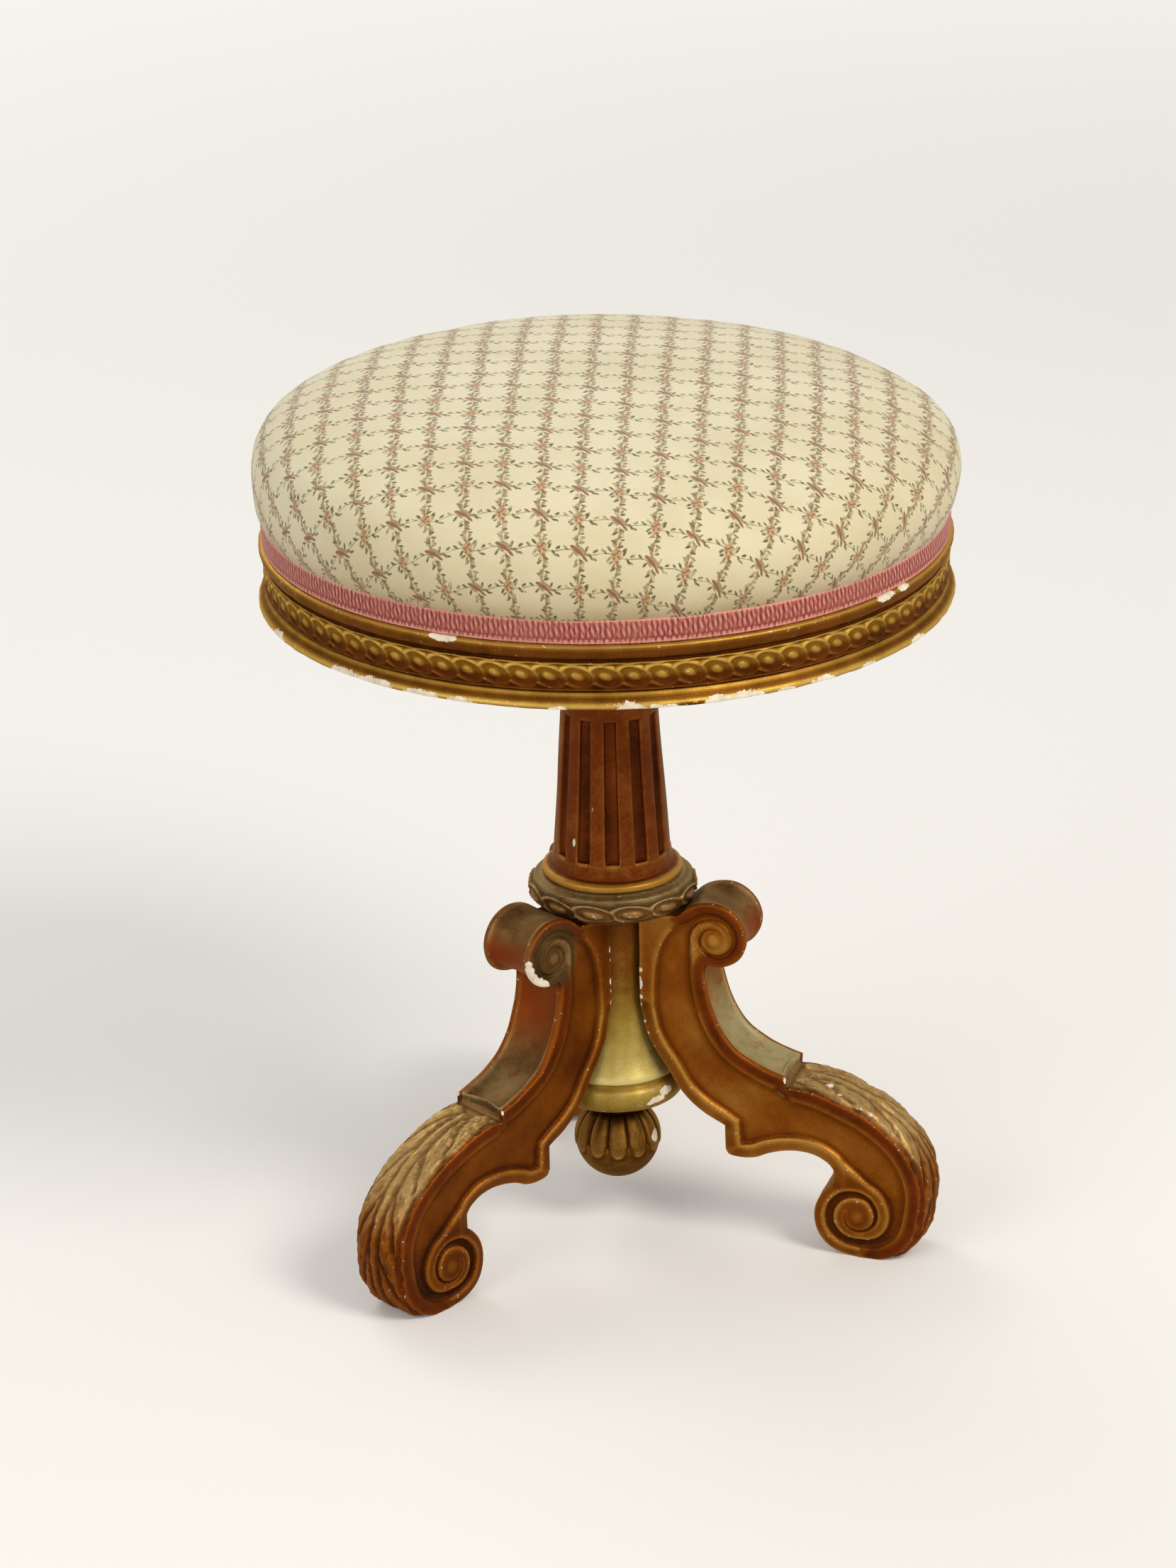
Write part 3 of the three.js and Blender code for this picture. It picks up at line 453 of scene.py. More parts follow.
def gilding(name, deep, dark, flat, bright, metal, flecks=0.5):
    """Worn gilding in four colours, from the hollows to the rubbed edges."""
    finish, tree, shader, coordinates = new_finish(name)
    cloud = noise(tree, coordinates, 26, detail=5)
    mottle = noise(tree, coordinates, 5, detail=6, roughness=0.65)
    grit = noise(tree, coordinates, 1.1, detail=3)
    wear_and_shading = attribute(tree, "wear_and_shading")
    softer = maths(tree, "MAXIMUM", wear_and_shading, times(tree, wear_and_shading, 0.7))
    level = scaled(tree, softer, 0.3, 0.45)
    level = maths(tree, "ADD", level, attribute(tree, "tone"))
    level = maths(tree, "ADD", level, scaled(tree, cloud, 0.28, -0.14))
    level = maths(tree, "ADD", level, scaled(tree, mottle, 0.2, -0.1))
    level = maths(tree, "ADD", level, scaled(tree, grit, 0.14, -0.07), clamp=True)
    gold = ramp(tree, level, (0.05, deep), (0.26, dark), (0.5, flat), (0.86, bright))
    rubbed = scaled(tree, mottle, 0.9, scaled(tree, cloud, 0.9, -0.95))
    clay = maths(tree, "ADD", attribute(tree, "red"), rubbed, clamp=True)
    gold = mixed(tree, times(tree, clay, 0.8), gold, tint(CLAY))
    stain = times(tree, attribute(tree, "green"), between(tree, mottle, 0.2, 0.52))
    gold = mixed(tree, stain, gold, ramp(tree, level, (0.3, PATINA), (0.75, PALE_PATINA)))
    torn = scaled(tree, grit, 0.5, scaled(tree, mottle, 0.7, -0.6))
    chip = between(tree, maths(tree, "ADD", attribute(tree, "chip"), torn), 0.32, 0.38)
    speck = noise(tree, coordinates, 2.2, detail=2)
    on_edge = times(tree, between(tree, wear_and_shading, 0.25, 0.8), flecks)
    speck = times(tree, between(tree, speck, 0.66, 0.7), on_edge)
    white = maths(tree, "MAXIMUM", chip, speck)
    chalk = ramp(tree, mottle, (0.3, "#d3c0a0"), (0.6, GESSO))
    colour = mixed(tree, white, gold, chalk)
    shine = times(tree, maths(tree, "SUBTRACT", 1.0, white), metal)
    roughness = scaled(tree, mottle, 0.3, scaled(tree, level, -0.18, 0.4))
    roughness = maths(tree, "MAXIMUM", roughness, times(tree, white, 0.8))
    height = scaled(tree, chip, -0.6, scaled(tree, mottle, 0.5, grit))
    wire(tree, shader, Base_Color=colour, Metallic=shine, Roughness=roughness,
         Specular_IOR_Level=0.18, Specular_Tint=(1.0, 0.74, 0.4, 1.0), Normal=bump(tree, height, 0.35, 0.3))
    return finish


rail_gilding = gilding("rail gilding", "#331503", "#5a3207", "#835a19", "#c8a14c", 0.7)
leg_gilding = gilding("leg gilding", "#2d1002", "#562503", "#7e4207", "#ad7c32", 0.55)
column_gilding = gilding("column gilding", "#1a0702", "#3d1503", "#6a2c07", "#b07e32", 0.5)
hub_gilding = gilding("hub gilding", "#3d1c03", "#70430c", "#9a7d35", "#cdbb74", 0.5, flecks=0.2)
ball_gilding = gilding("ball gilding", "#140801", "#301703", "#57330b", "#bf8f40", 0.7, flecks=0.2)
print("gilding:", len(rail_gilding.node_tree.nodes), "nodes in each")

# %% [markdown]
# ## The cushion
#
# The seat is stuffed with horsehair over a board and covered with one round of printed cotton,
# pulled down over the edge and tacked to the rail. A sphere or a disc would look blown up or cut
# out. The dome here is almost flat on top with a tight shoulder, draws in under its widest place,
# and is blown up a little with the cloth solver, as stuffing presses on a cover. Its line follows
# the rows of the print, which are evenly spaced on the cloth: where they look close together the
# cloth lies flat. The real seat has settled to one side, so the dome leans about one degree.

# %% The dome's line
SEAT_TOP = 416.0                # top of the rail, and the foot of the cushion
DOME_RADIUS = 193.6
DOME_WIDEST = 449.0             # height of the widest place
DOME_CROWN = 54.5               # height of the crown above that, before the stuffing presses
DOME_FLAT = 0.62
COVER_FOOT = 184.6              # radius of the cover where the braid holds it


def dome_line(steps):
    """From the foot up and over to the crown: r = R cos(t) and z = widest + H sin(t) ** 0.62 above
    the widest place; below it, the cover draws in to the braid."""
    foot = smooth([[COVER_FOOT, SEAT_TOP + 0.4], [COVER_FOOT, 427], [COVER_FOOT + 4.6, 430.6],
                   [DOME_RADIUS - 1.8, 437], [DOME_RADIUS, DOME_WIDEST]], steps // 3)
    t = np.linspace(0, math.pi / 2, steps)[1:]
    radius = DOME_RADIUS * np.cos(t)
    radius[-1] = 0
    crown = np.stack([radius, DOME_WIDEST + DOME_CROWN * np.sin(t) ** DOME_FLAT], axis=-1)
    return np.concatenate([foot, crown])


dome = dome_line(60)
base_line = straight([[0, SEAT_TOP + 0.4], [COVER_FOOT, SEAT_TOP + 0.4]], 8)
cushion = turned("cushion_cover", np.concatenate([base_line[:-1], dome]), circle(120))
print("cushion line:", len(dome), "places, crown at", round(float(dome[-1, 1]), 1), "mm")

# %% Remesh and blow up
VOXEL = 5.0
BLOW_CAP = 1.1                  # no corner moves further than this
BLOW_FRAMES = 20


def blow_up(piece, pressure=4.0):
    """Remeshes a closed form in even cells, lets the cloth solver press it out from inside, caps
    how far each corner has moved, and holds the foot where the braid is."""
    remesh = piece.modifiers.new("even cells", "REMESH")
    remesh.mode = "VOXEL"
    remesh.voxel_size = VOXEL * MM
    keep_modifiers(piece)
    start = corners_of(piece)
    held = piece.vertex_groups.new(name="held")
    low = np.flatnonzero(start[:, 2] < SEAT_TOP + 12).tolist()
    held.add(low, 1.0, "REPLACE")
    cloth = piece.modifiers.new("stuffing", "CLOTH")
    cloth.settings.use_pressure = True
    cloth.settings.uniform_pressure_force = pressure
    cloth.settings.effector_weights.gravity = 0
    cloth.settings.vertex_group_mass = "held"
    cloth.settings.quality = 5
    scene = bpy.context.scene
    for number in range(1, BLOW_FRAMES + 1):
        scene.frame_set(number)
    evaluated = piece.evaluated_get(bpy.context.evaluated_depsgraph_get())
    blown = corners_of(evaluated)
    piece.modifiers.clear()
    scene.frame_set(1)
    moved = blown - start
    far = np.linalg.norm(moved, axis=1)[:, None]
    moved *= np.minimum(1, BLOW_CAP / np.maximum(far, 1e-6))
    piece.data.vertices.foreach_set("co", ((start + moved) * MM).ravel())
    print("cushion blown up by", round(float(np.median(far)), 2), "mm before the cap")


blow_up(cushion)
subdivision = cushion.modifiers.new("smooth", "SUBSURF")
subdivision.levels = subdivision.render_levels = 1
keep_modifiers(cushion)
cushion.data.name = "cushion_cover"
print("cushion:", len(cushion.data.polygons), "faces")

# %% [markdown]
# The seat has its own lean and pulls. Both are set now, corner by corner, as a distance outwards:
# a soft unevenness, and small pleats that pull down to the tacks under the braid. Then the whole
# leans. The cloth's flat map is worked out first, while each place is still on the plain dome.

# %% Lean, pulls and the cloth's own map
LEAN = 0.019                    # rise for each millimetre to the left, at the crown
LEAN_SHIFT = 1.6
LEAN_WAY = CAMERA_AROUND        # the lean's low side: the camera's right
TACKS = 52
PULL_DEPTH = 0.7
PULL_REACH = 20.0
BRAID_TOP = 431.0               # height where the cover comes clear of the braid

places = corners_of(cushion)
radius = np.hypot(places[:, 0], places[:, 1])
angle = round_axis(places)

# The cover is drawn down evenly all round. So a place lies as far from the print's middle as it is
# from the crown along the dome, in its own direction, and the rows draw together below the
# shoulder. The cloth was pulled a little askew as well, which the two rows of SKEW carry.
from_crown = dome[::-1]
line_length = np.concatenate([[0], np.cumsum(np.linalg.norm(np.diff(from_crown, axis=0), axis=1))])
on_top = from_crown[:, 1] > DOME_WIDEST + 20
by_radius = np.interp(radius, from_crown[on_top, 0], line_length[on_top])
by_height = np.interp(-places[:, 2], -from_crown[:, 1], line_length)
from_middle = np.where(places[:, 2] > DOME_WIDEST + 24, by_radius, by_height)
PRINT_TURN = math.radians(13)
SKEW = np.array([[1.016, -0.042], [0.173, 0.977]])
in_direction = np.stack([np.cos(angle + PRINT_TURN), np.sin(angle + PRINT_TURN)], axis=-1)
cloth_map = (from_middle[:, None] * in_direction) @ SKEW.T

# %% Pulls and lean
above_foot = ease(places[:, 2], 430, 470)
side_share = ease(radius, 120, 175)
pull = np.abs(np.sin(angle * TACKS / 2 + 0.9 * np.sin(angle * 5))) ** 0.6
pull_share = np.exp(-np.maximum(places[:, 2] - BRAID_TOP, 0) / PULL_REACH) * side_share
soft = ripple(places, 90, seed=4) * 0.5 + ripple(places, 34, seed=5) * 0.16
outwards = (soft - (1 - pull) * PULL_DEPTH * pull_share) * above_foot ** 0.3
places[:, 0] += np.cos(angle) * outwards * side_share
places[:, 1] += np.sin(angle) * outwards * side_share
places[:, 2] += outwards * (1 - side_share) * (places[:, 2] > SEAT_TOP + 4)
to_right = places[:, 0] * math.cos(LEAN_WAY) + places[:, 1] * math.sin(LEAN_WAY)
places[:, 2] -= LEAN * to_right * above_foot
places[:, 0] += LEAN_SHIFT * above_foot * math.cos(LEAN_WAY)
places[:, 1] += LEAN_SHIFT * above_foot * math.sin(LEAN_WAY)
cushion.data.vertices.foreach_set("co", (places * MM).ravel())
cushion.data.update()

loop_corner = numbers_of(cushion.data.loops, "vertex_index", 1, int).ravel()
layer = cushion.data.uv_layers.new(name="cloth")
layer.data.foreach_set("uv", (cloth_map[loop_corner] * MM).ravel())
above_braid = np.maximum(places[:, 2] - BRAID_TOP, 0)
# The foot attribute is painted shade: the cover darkens near the braid, where it turns under, and fades up
# its side wall as if lit from above.
mark(cushion, "foot", 0.55 * np.exp(-above_braid / 10) + 0.45 * np.exp(-above_braid / 38))
shade_smooth(cushion.data)
print("cloth reaches", round(float(from_middle.max())), "mm from its middle")

# %% [markdown]
# **Printed cotton.** A cream plain weave with a trellis of thin stems. Where the stems cross
# there is a full rose or a slanting bud, turn and turn about, and small leaves stand off the
# stems between. The print is drawn in the cloth's flat map, so it bends over the dome as the
# threads do. Each leaf and petal is an ellipse: the length of the place, moved, turned and
# squeezed to that ellipse's own measure, is below 1 inside it.

# %% Print helpers
PRINT_PITCH = 20.7              # millimetres between crossings of the stems
PRINT_SHIFT = (28.8, 9.3, 0)    # where the print lies on the cloth
# The third of these colours is painted shade, multiplied into the cover low on its side wall.
CREAM, OLD_CREAM, FOOT_SHADE = "#ece0ba", "#e5d7ad", "#b7a489"
INK_GREEN, INK_GREY = "#64623e", "#8a8052"
INK_ROSE, INK_RED, INK_BROWN = "#b88a52", "#8a4c28", "#96703e"

# Each: x, y, half length, half width in millimetres, and turn in degrees
ROSE_PETALS = [(-1.3, 1.8, 1.8, 1.4, 20), (1.2, 2.1, 1.7, 1.3, -30), (-1.6, -0.6, 1.7, 1.4, 10),
               (1.4, -0.4, 1.8, 1.4, -20), (0.0, -2.6, 1.8, 1.3, 5), (0.2, 3.5, 1.3, 0.88, 0)]
ROSE_HEARTS = [(-0.5, 1.0, 1.5, 0.48, 35), (1.0, -0.5, 1.3, 0.45, -40), (-1.4, -1.4, 1.1, 0.45, 80),
               (0.9, 2.5, 1.0, 0.45, 20), (-2.2, 0.6, 0.9, 0.48, -60), (0.5, -3.0, 1.0, 0.45, -10)]
BUDS = [(-0.2, 0.3, 4.2, 1.0, -36), (-3.0, 2.2, 1.8, 0.95, -20), (3.2, -2.7, 2.2, 0.8, -46)]
BUD_SHINES = [(1.1, 1.6, 3.4, 1.15, -34), (-1.7, -0.6, 2.1, 0.9, -45), (4.6, -0.9, 2.0, 0.8, -10)]
LEAVES = [(4.3, 1.8, 1.9, 0.7, 62), (6.6, -1.7, 1.9, 0.75, -55), (9.2, 1.3, 1.8, 0.7, 30),
          (-4.3, -1.9, 1.9, 0.7, 50), (-7.0, 1.6, 1.8, 0.7, -35), (8.6, -2.6, 1.4, 0.6, -20),
          (1.7, 4.9, 1.8, 0.65, 20), (-1.9, 7.0, 2.0, 0.7, -30), (1.6, -4.5, 1.8, 0.7, -25),
          (-1.8, -6.8, 1.9, 0.7, 35), (1.5, -9.0, 1.7, 0.65, 10), (2.2, 8.9, 1.7, 0.6, -15)]
LEAVES_BY_ROSE = [(4.3, 3.4, 1.7, 0.8, 40), (-4.2, 3.2, 1.7, 0.75, -45), (-3.4, -3.6, 1.5, 0.7, 30)]
BROWN_LEAVES = [(1.5, 6.6, 2.0, 0.85, 65), (-1.6, 5.4, 1.8, 0.8, -60), (-1.4, 8.6, 1.9, 0.8, 70),
                (1.7, -5.9, 2.0, 0.85, -65), (-1.5, -5.0, 1.7, 0.75, 60), (1.2, -8.6, 1.8, 0.8, 75)]


def ellipses(tree, cell, shapes, soft=0.22):
    """1 inside any of some ellipses of a cell, with a soft edge."""
    shown = None
    for x, y, length, width, turned_by in shapes:
        local = put(tree, "ShaderNodeMapping", cell, (x, y, 0), (0, 0, math.radians(turned_by)),
                    (length, width, 1), vector_type="TEXTURE")
        far = vectors(tree, "LENGTH", local, out=1)
        inside = between(tree, far, 1 - soft, 1 + soft, 1.0, 0.0)
        shown = inside if shown is None else maths(tree, "MAXIMUM", shown, inside)
    return shown


def stem(tree, along, across, sway, half_width):
    """1 on a thin stem that sways to both sides as it goes along."""
    wave = maths(tree, "SINE", times(tree, along, 2 * math.pi / PRINT_PITCH))
    off = maths(tree, "ABSOLUTE", scaled(tree, wave, sway, across))
    return between(tree, off, half_width * 0.6, half_width * 1.6, 1.0, 0.0)


# %% Printed cotton
cotton, tree, shader, coordinates = new_finish("printed cotton")
flat_map = put(tree, "ShaderNodeUVMap", uv_map="cloth")
wobble = noise(tree, coordinates, 60, detail=2)
drift = put(tree, "ShaderNodeTexNoise", coordinates, None, 18.0, 1.0, out=1)
drift = vectors(tree, "SUBTRACT", drift, (0.5, 0.5, 0.5))
drift = vectors(tree, "MULTIPLY", drift, (5 * MM, 5 * MM, 0))
flat_map = vectors(tree, "ADD", flat_map, drift)
turned_map = put(tree, "ShaderNodeMapping", flat_map, PRINT_SHIFT, (0, 0, 0), (1 / MM, 1 / MM, 1))
half_pitch = PRINT_PITCH / 2
shifted = vectors(tree, "ADD", turned_map, (half_pitch, half_pitch, 0))
wrapped = vectors(tree, "WRAP", shifted, (PRINT_PITCH, PRINT_PITCH, 1), (0, 0, 0))
cell = vectors(tree, "SUBTRACT", wrapped, (half_pitch, half_pitch, 0))
split_cell = put(tree, "ShaderNodeSeparateXYZ", cell)
x_in_cell, y_in_cell = split_cell.node.outputs[0], split_cell.node.outputs[1]
number = vectors(tree, "MULTIPLY", shifted, (1 / PRINT_PITCH, 1 / PRINT_PITCH, 0))
number = vectors(tree, "FLOOR", number)
split_number = put(tree, "ShaderNodeSeparateXYZ", number)
both = maths(tree, "ADD", split_number.node.outputs[0], split_number.node.outputs[1])
is_rose = maths(tree, "GREATER_THAN", maths(tree, "PINGPONG", both, 1.0), 0.5)
is_bud = maths(tree, "SUBTRACT", 1.0, is_rose)

cream = mixed(tree, between(tree, wobble, 0.35, 0.65), tint(CREAM), tint(OLD_CREAM))
stems = maths(tree, "MAXIMUM", stem(tree, x_in_cell, y_in_cell, 0.9, 0.26),
              stem(tree, y_in_cell, x_in_cell, 0.7, 0.5))
near_flower = vectors(tree, "LENGTH", cell, out=1)
stems = times(tree, stems, between(tree, near_flower, 2.2, 3.2))
faded = between(tree, noise(tree, coordinates, 2.5, detail=2), 0.3, 0.6, 0.35, 1.0)
colour = mixed(tree, times(tree, stems, times(tree, faded, 0.9)), cream, tint(INK_GREY))
greens = ellipses(tree, cell, LEAVES)
greens_by_rose = times(tree, ellipses(tree, cell, LEAVES_BY_ROSE), is_rose)
greens = times(tree, maths(tree, "MAXIMUM", greens, greens_by_rose), faded)
colour = mixed(tree, greens, colour, tint(INK_GREEN))
for shapes, soft, where, share, ink in [
        (BROWN_LEAVES, 0.35, faded, 0.85, INK_BROWN), (ROSE_PETALS, 0.35, is_rose, 0.75, INK_ROSE),
        (ROSE_HEARTS, 0.22, is_rose, 0.8, INK_RED), (BUD_SHINES, 0.35, is_bud, 0.75, INK_BROWN),
        (BUDS, 0.22, is_bud, 0.9, INK_RED)]:
    printed = times(tree, ellipses(tree, cell, shapes, soft), where)
    colour = mixed(tree, times(tree, printed, share), colour, tint(ink))

# %% Weave and painted shade at the foot
THREAD = 0.42                   # millimetres from thread to thread
warp = maths(tree, "SINE", times(tree, x_in_cell, 2 * math.pi / THREAD))
weft = maths(tree, "SINE", times(tree, y_in_cell, 2 * math.pi / THREAD))
weave = scaled(tree, times(tree, warp, weft), 0.5, 0.5)
slub = noise(tree, coordinates, 1.4, detail=3)
shade = scaled(tree, weave, 0.05, scaled(tree, slub, 0.1, 0.89))
colour = mixed(tree, 1.0, colour, shade, mode="MULTIPLY")
# Painted shade near the braid and up the side wall, multiplied into the cloth's colour.
foot_shade = times(tree, attribute(tree, "foot"), 0.8)
colour = mixed(tree, foot_shade, colour, tint(FOOT_SHADE), mode="MULTIPLY")
weave_height = scaled(tree, slub, 0.8, weave)
wire(tree, shader, Base_Color=colour, Roughness=0.88, Sheen_Weight=0.25, Sheen_Roughness=0.5,
     Normal=bump(tree, weave_height, 0.35, 0.12))
settle(cushion, "seat", "seat_cloth", cotton, "seat_cover", "stuffing_pad")
print("printed cotton:", len(tree.nodes), "nodes")

# %% [markdown]
# ## The braid
#
# A ribbed braid covers the tacks. Close up it is a row of stitches side by side, each a long
# bulge with a small knot under it. One stitch is a bump across its own share of the circle, and
# the same bump is repeated all round, so the carved surface of one turned piece does it.

# %% Gimp braid
STITCHES = 440
STITCH_STEPS = 6
GIMP_FOOT, GIMP_HEIGHT = 416.3, 13.4
GIMP_OUT, GIMP_IN = 187.3, 185.1
KNOT_HEIGHT = 3.2               # the knots' band, above the braid's foot
STITCH_DEPTH = 0.55


def braid_relief(angle, along, radius, height):
    """A bulge |sin| for each stitch, long above the knots' band and short within it, and set
    half a stitch apart there; nothing on the hidden back."""
    up = height - GIMP_FOOT
    knot = up < KNOT_HEIGHT
    phase = angle * STITCHES / 2 + np.where(knot, math.pi / 2, 0.12 * up)
    phase = phase + 0.3 * np.sin(angle * 97 + 0.3 * up) + 0.25 * np.sin(angle * 173)
    across = np.abs(np.sin(phase)) ** 0.7 * (0.8 + 0.2 * np.sin(angle * 311 + 1.1 * up))
    run = np.where(knot, np.sin(math.pi * np.clip(up / KNOT_HEIGHT, 0, 1)),
                   np.sin(math.pi * np.clip((up - KNOT_HEIGHT) / (GIMP_HEIGHT - KNOT_HEIGHT), 0, 1)))
    front = radius > (GIMP_OUT + GIMP_IN) / 2
    return front * STITCH_DEPTH * (across * np.maximum(run, 0) ** 0.35 - 0.4)


gimp_front = np.stack([GIMP_OUT + 0.25 * np.sin(np.linspace(0, math.pi, 19)),
                       GIMP_FOOT + np.linspace(0.2, GIMP_HEIGHT - 0.2, 19)], axis=-1)
gimp_line = np.concatenate([gimp_front, [[GIMP_OUT - 1.2, GIMP_FOOT + GIMP_HEIGHT],
                                         [GIMP_IN, GIMP_FOOT + GIMP_HEIGHT - 1],
                                         [GIMP_IN, GIMP_FOOT]]])
gimp = turned("ribbed_braid", gimp_line, circle(STITCHES * STITCH_STEPS // 2), braid_relief)
# On the braid this attribute is painted light: each stitch's crest is painted lighter as a highlight, and
# the gaps between stitches darker as shade.
mark(gimp, "wear_and_shading", np.clip(stand_out(gimp, 6) / 0.2, -1, 1))

pink, tree, shader, coordinates = new_finish("pink silk braid")
fade = noise(tree, coordinates, 30, detail=3)
strand = noise(tree, coordinates, 0.8, detail=2)
# Painted highlight on the stitches' crests and painted shade between them, from the attribute above.
level = scaled(tree, attribute(tree, "wear_and_shading"), 0.42, scaled(tree, strand, 0.3, 0.34), clamp=True)
silk = ramp(tree, level, (0.16, "#4f1411"), (0.48, "#963e33"), (0.9, "#e09883"))
silk = mixed(tree, between(tree, fade, 0.4, 0.7, 0.0, 0.3), silk, tint("#a5604c"))
wire(tree, shader, Base_Color=silk, Roughness=0.6, Sheen_Weight=0.15, Sheen_Roughness=0.35,
     Normal=bump(tree, strand, 0.3, 0.1))
settle(gimp, "seat", "braid", pink, "gimp_braid")

# %% [markdown]
# ## The seat rail
#
# The rail is turned from the outside and then carved. Its line has a bead under the braid, a
# hollow, a broad band, and an ogee down to the foot. The band carries a chain of rings, each laid
# over the next, with an oval in each ring. The chain is a height that depends on where a place
# lies in its own cell, so eighty rings cost one formula. The screws' sinks are pressed into the
# foot in the same way.

# %% Chain of rings
def chain(cell, across, ring_along, ring_across, ring_width, bead_along, bead_across, slant=0.25):
    """Height from 0 to 1 of one cell of a chain. cell is -0.5 to 0.5 along the chain in cells,
    across is in millimetres from the band's middle, and the rings' own lengths are along in cells.
    A ring is a ridge where its ellipse's measure is near 1, crisp at its upper left and worn at
    its lower right, on a disc a little above the ground; the ring on the left lies on top."""
    leaned = cell + slant * across / ring_across * ring_along * 0.5

    def ring(shift):
        measure = np.hypot((leaned - shift) / ring_along, across / ring_across)
        to_lower_right = ((leaned - shift) / ring_along - across / ring_across) / 1.4
        crisp = 1 - 0.5 * ease(to_lower_right, -0.3, 0.9)
        return crisp * np.exp(-((measure - 1) * ring_across / ring_width) ** 2)

    def disc(shift):
        return np.hypot((leaned - shift) / ring_along, across / ring_across) < 1

    own = ring(0) * np.where(disc(-1.0), 0.35, 1)
    following = ring(1.0) * np.where(disc(0), 0.35, 1)
    bead = 1 - np.hypot(leaned / bead_along, across / bead_across) ** 2
    bead = 0.95 * np.sqrt(np.clip(bead, 0, 1))
    ground = 0.3 * np.maximum(disc(0), disc(-1.0))
    return np.maximum.reduce([own, following, ring(-1.0), bead, ground])


# %% Rail
RAIL_INSIDE, RAIL_REBATE = 158.0, 172.0
BOARD_FOOT = 398.0
RINGS = 80
RING_STEPS = 14
BAND_MIDDLE, BAND_HALF = 398.2, 7.4
CHAIN_DEPTH = 1.5
SCREW_SINK, SINK_RADIUS = 4.6, 4.4
RAIL_SCREW_RADIUS = 165.0
RAIL_SCREWS = [math.radians(45 + 90 * i) for i in range(4)]

rail_face = np.concatenate([
    smooth([[188.6, 381.0], [189.9, 381.5], [190.2, 382.6], [189.8, 383.8], [188.6, 385.4],
            [187.0, 387.2], [186.2, 388.4], [185.6, 389.4]], 12),
    smooth([[184.6, 389.7], [184.5, 390.1], [186.4, 390.5]], 4),
    straight([[186.9, 390.8], [187.1, 405.4]], 0.66),
    smooth([[186.4, 405.9], [185.4, 406.1], [185.1, 406.7], [185.4, 407.3]], 6),
    smooth([[186.2, 407.7], [187.7, 409.0], [188.7, 410.9], [189.2, 412.8]], 7),
    smooth([[189.3, 413.7], [189.1, 414.8], [188.3, 415.6], [187.0, 416.0]], 6),
])
rail_line = np.concatenate([rail_face, straight([[184, 416.0], [RAIL_REBATE, 416.0]], 12),
                            straight([[RAIL_REBATE, 415], [RAIL_REBATE, BOARD_FOOT - 0.3]], 18),
                            straight([[RAIL_REBATE - 1, BOARD_FOOT - 0.3],
                                      [RAIL_INSIDE + 0.6, BOARD_FOOT - 0.3]], 14),
                            straight([[RAIL_INSIDE, BOARD_FOOT - 1], [RAIL_INSIDE, 381.8]], 8),
                            straight([[RAIL_INSIDE + 0.8, 381], [171, 381.0]], 1.35),
                            straight([[172, 381], [187.6, 381.0]], 5)])
print("rail line:", len(rail_line), "places")


# %% Rail's carving
def rail_relief(angle, along, radius, height):
    """The chain on the band, less its ground; the screws' sinks in the foot; and hand work."""
    on_band = (radius > 186) & (height > 390.6) & (height < 405.6)
    cell = (angle * RINGS / (2 * math.pi) + 0.5) % 1 - 0.5
    across = height - BAND_MIDDLE
    rings = chain(cell, across, 0.58, 6.0, 1.15, 0.27, 2.8, slant=0.6)
    fade = 1 - ease(np.abs(across), BAND_HALF - 0.9, BAND_HALF)
    cut = on_band * fade * (CHAIN_DEPTH * rings - CHAIN_DEPTH * 0.75)
    for screw in RAIL_SCREWS:
        off = np.hypot(radius * np.sin(off_angle(angle, screw)),
                       radius * np.cos(off_angle(angle, screw)) - RAIL_SCREW_RADIUS)
        cut = cut - SCREW_SINK * (height < 381.5) * (off < SINK_RADIUS)
    outside = radius > 183
    cut = cut - outside * 0.55 * np.exp(-((height - 386.0) / 0.6) ** 2)
    uneven = 0.1 * np.sin(angle * 37 + 2 * np.sin(angle * 11)) + 0.05 * np.sin(angle * 83)
    return cut + outside * uneven


rail = turned("carved_rail", rail_line, circle(RINGS * RING_STEPS), rail_relief)

# %% Rail's chips, rubbing, and painted light and shade
CHIP_SPREAD = 1.5               # a chip's ragged edge is inside its reach


def rail_chip(degrees_right, height, reach_around, reach_up, radius=189.5):
    """A chip on the rail, by how far right of the camera's middle it lies."""
    angle = math.radians(FACING + degrees_right)
    centre = np.array([radius * math.cos(angle), radius * math.sin(angle), height])
    sideways = abs(math.sin(angle)) * reach_around + abs(math.cos(angle)) * reach_up
    depthwise = abs(math.cos(angle)) * reach_around + abs(math.sin(angle)) * reach_up
    return centre, np.array([max(sideways, 4), max(depthwise, 4), reach_up]) * CHIP_SPREAD


rail_chips = [rail_chip(*place) for place in [
    (-47, 381.5, 12, 3.4), (-40, 381.2, 16, 3.6), (-31, 381.2, 15, 3.2), (-24, 381.0, 9, 3.0),
    (3.4, 381.0, 8, 4.4), (7.4, 381.2, 4, 2.6), (9.6, 381.2, 3, 2.0), (17.5, 381.5, 8, 3.6),
    (22, 381.6, 11, 3.6), (29, 381.2, 6, 2.4), (36, 381.4, 9, 2.8), (46, 381.2, 7, 2.6),
    (-27, 415.4, 9, 2.4), (51, 415.2, 8, 2.6), (56, 415.5, 5, 2.0), (-8, 381.0, 5, 2.0),
    (-68, 382, 9, 3), (60, 381.8, 8, 2.6), (110, 381.4, 12, 3.4), (150, 381.6, 14, 3.2),
    (195, 381.2, 10, 3), (-110, 381.6, 11, 3.2), (-150, 415.3, 9, 2.4), (128, 415.3, 7, 2.2)]]
rail_places = corners_of(rail)
rail_outside = np.hypot(rail_places[:, 0], rail_places[:, 1]) > 180
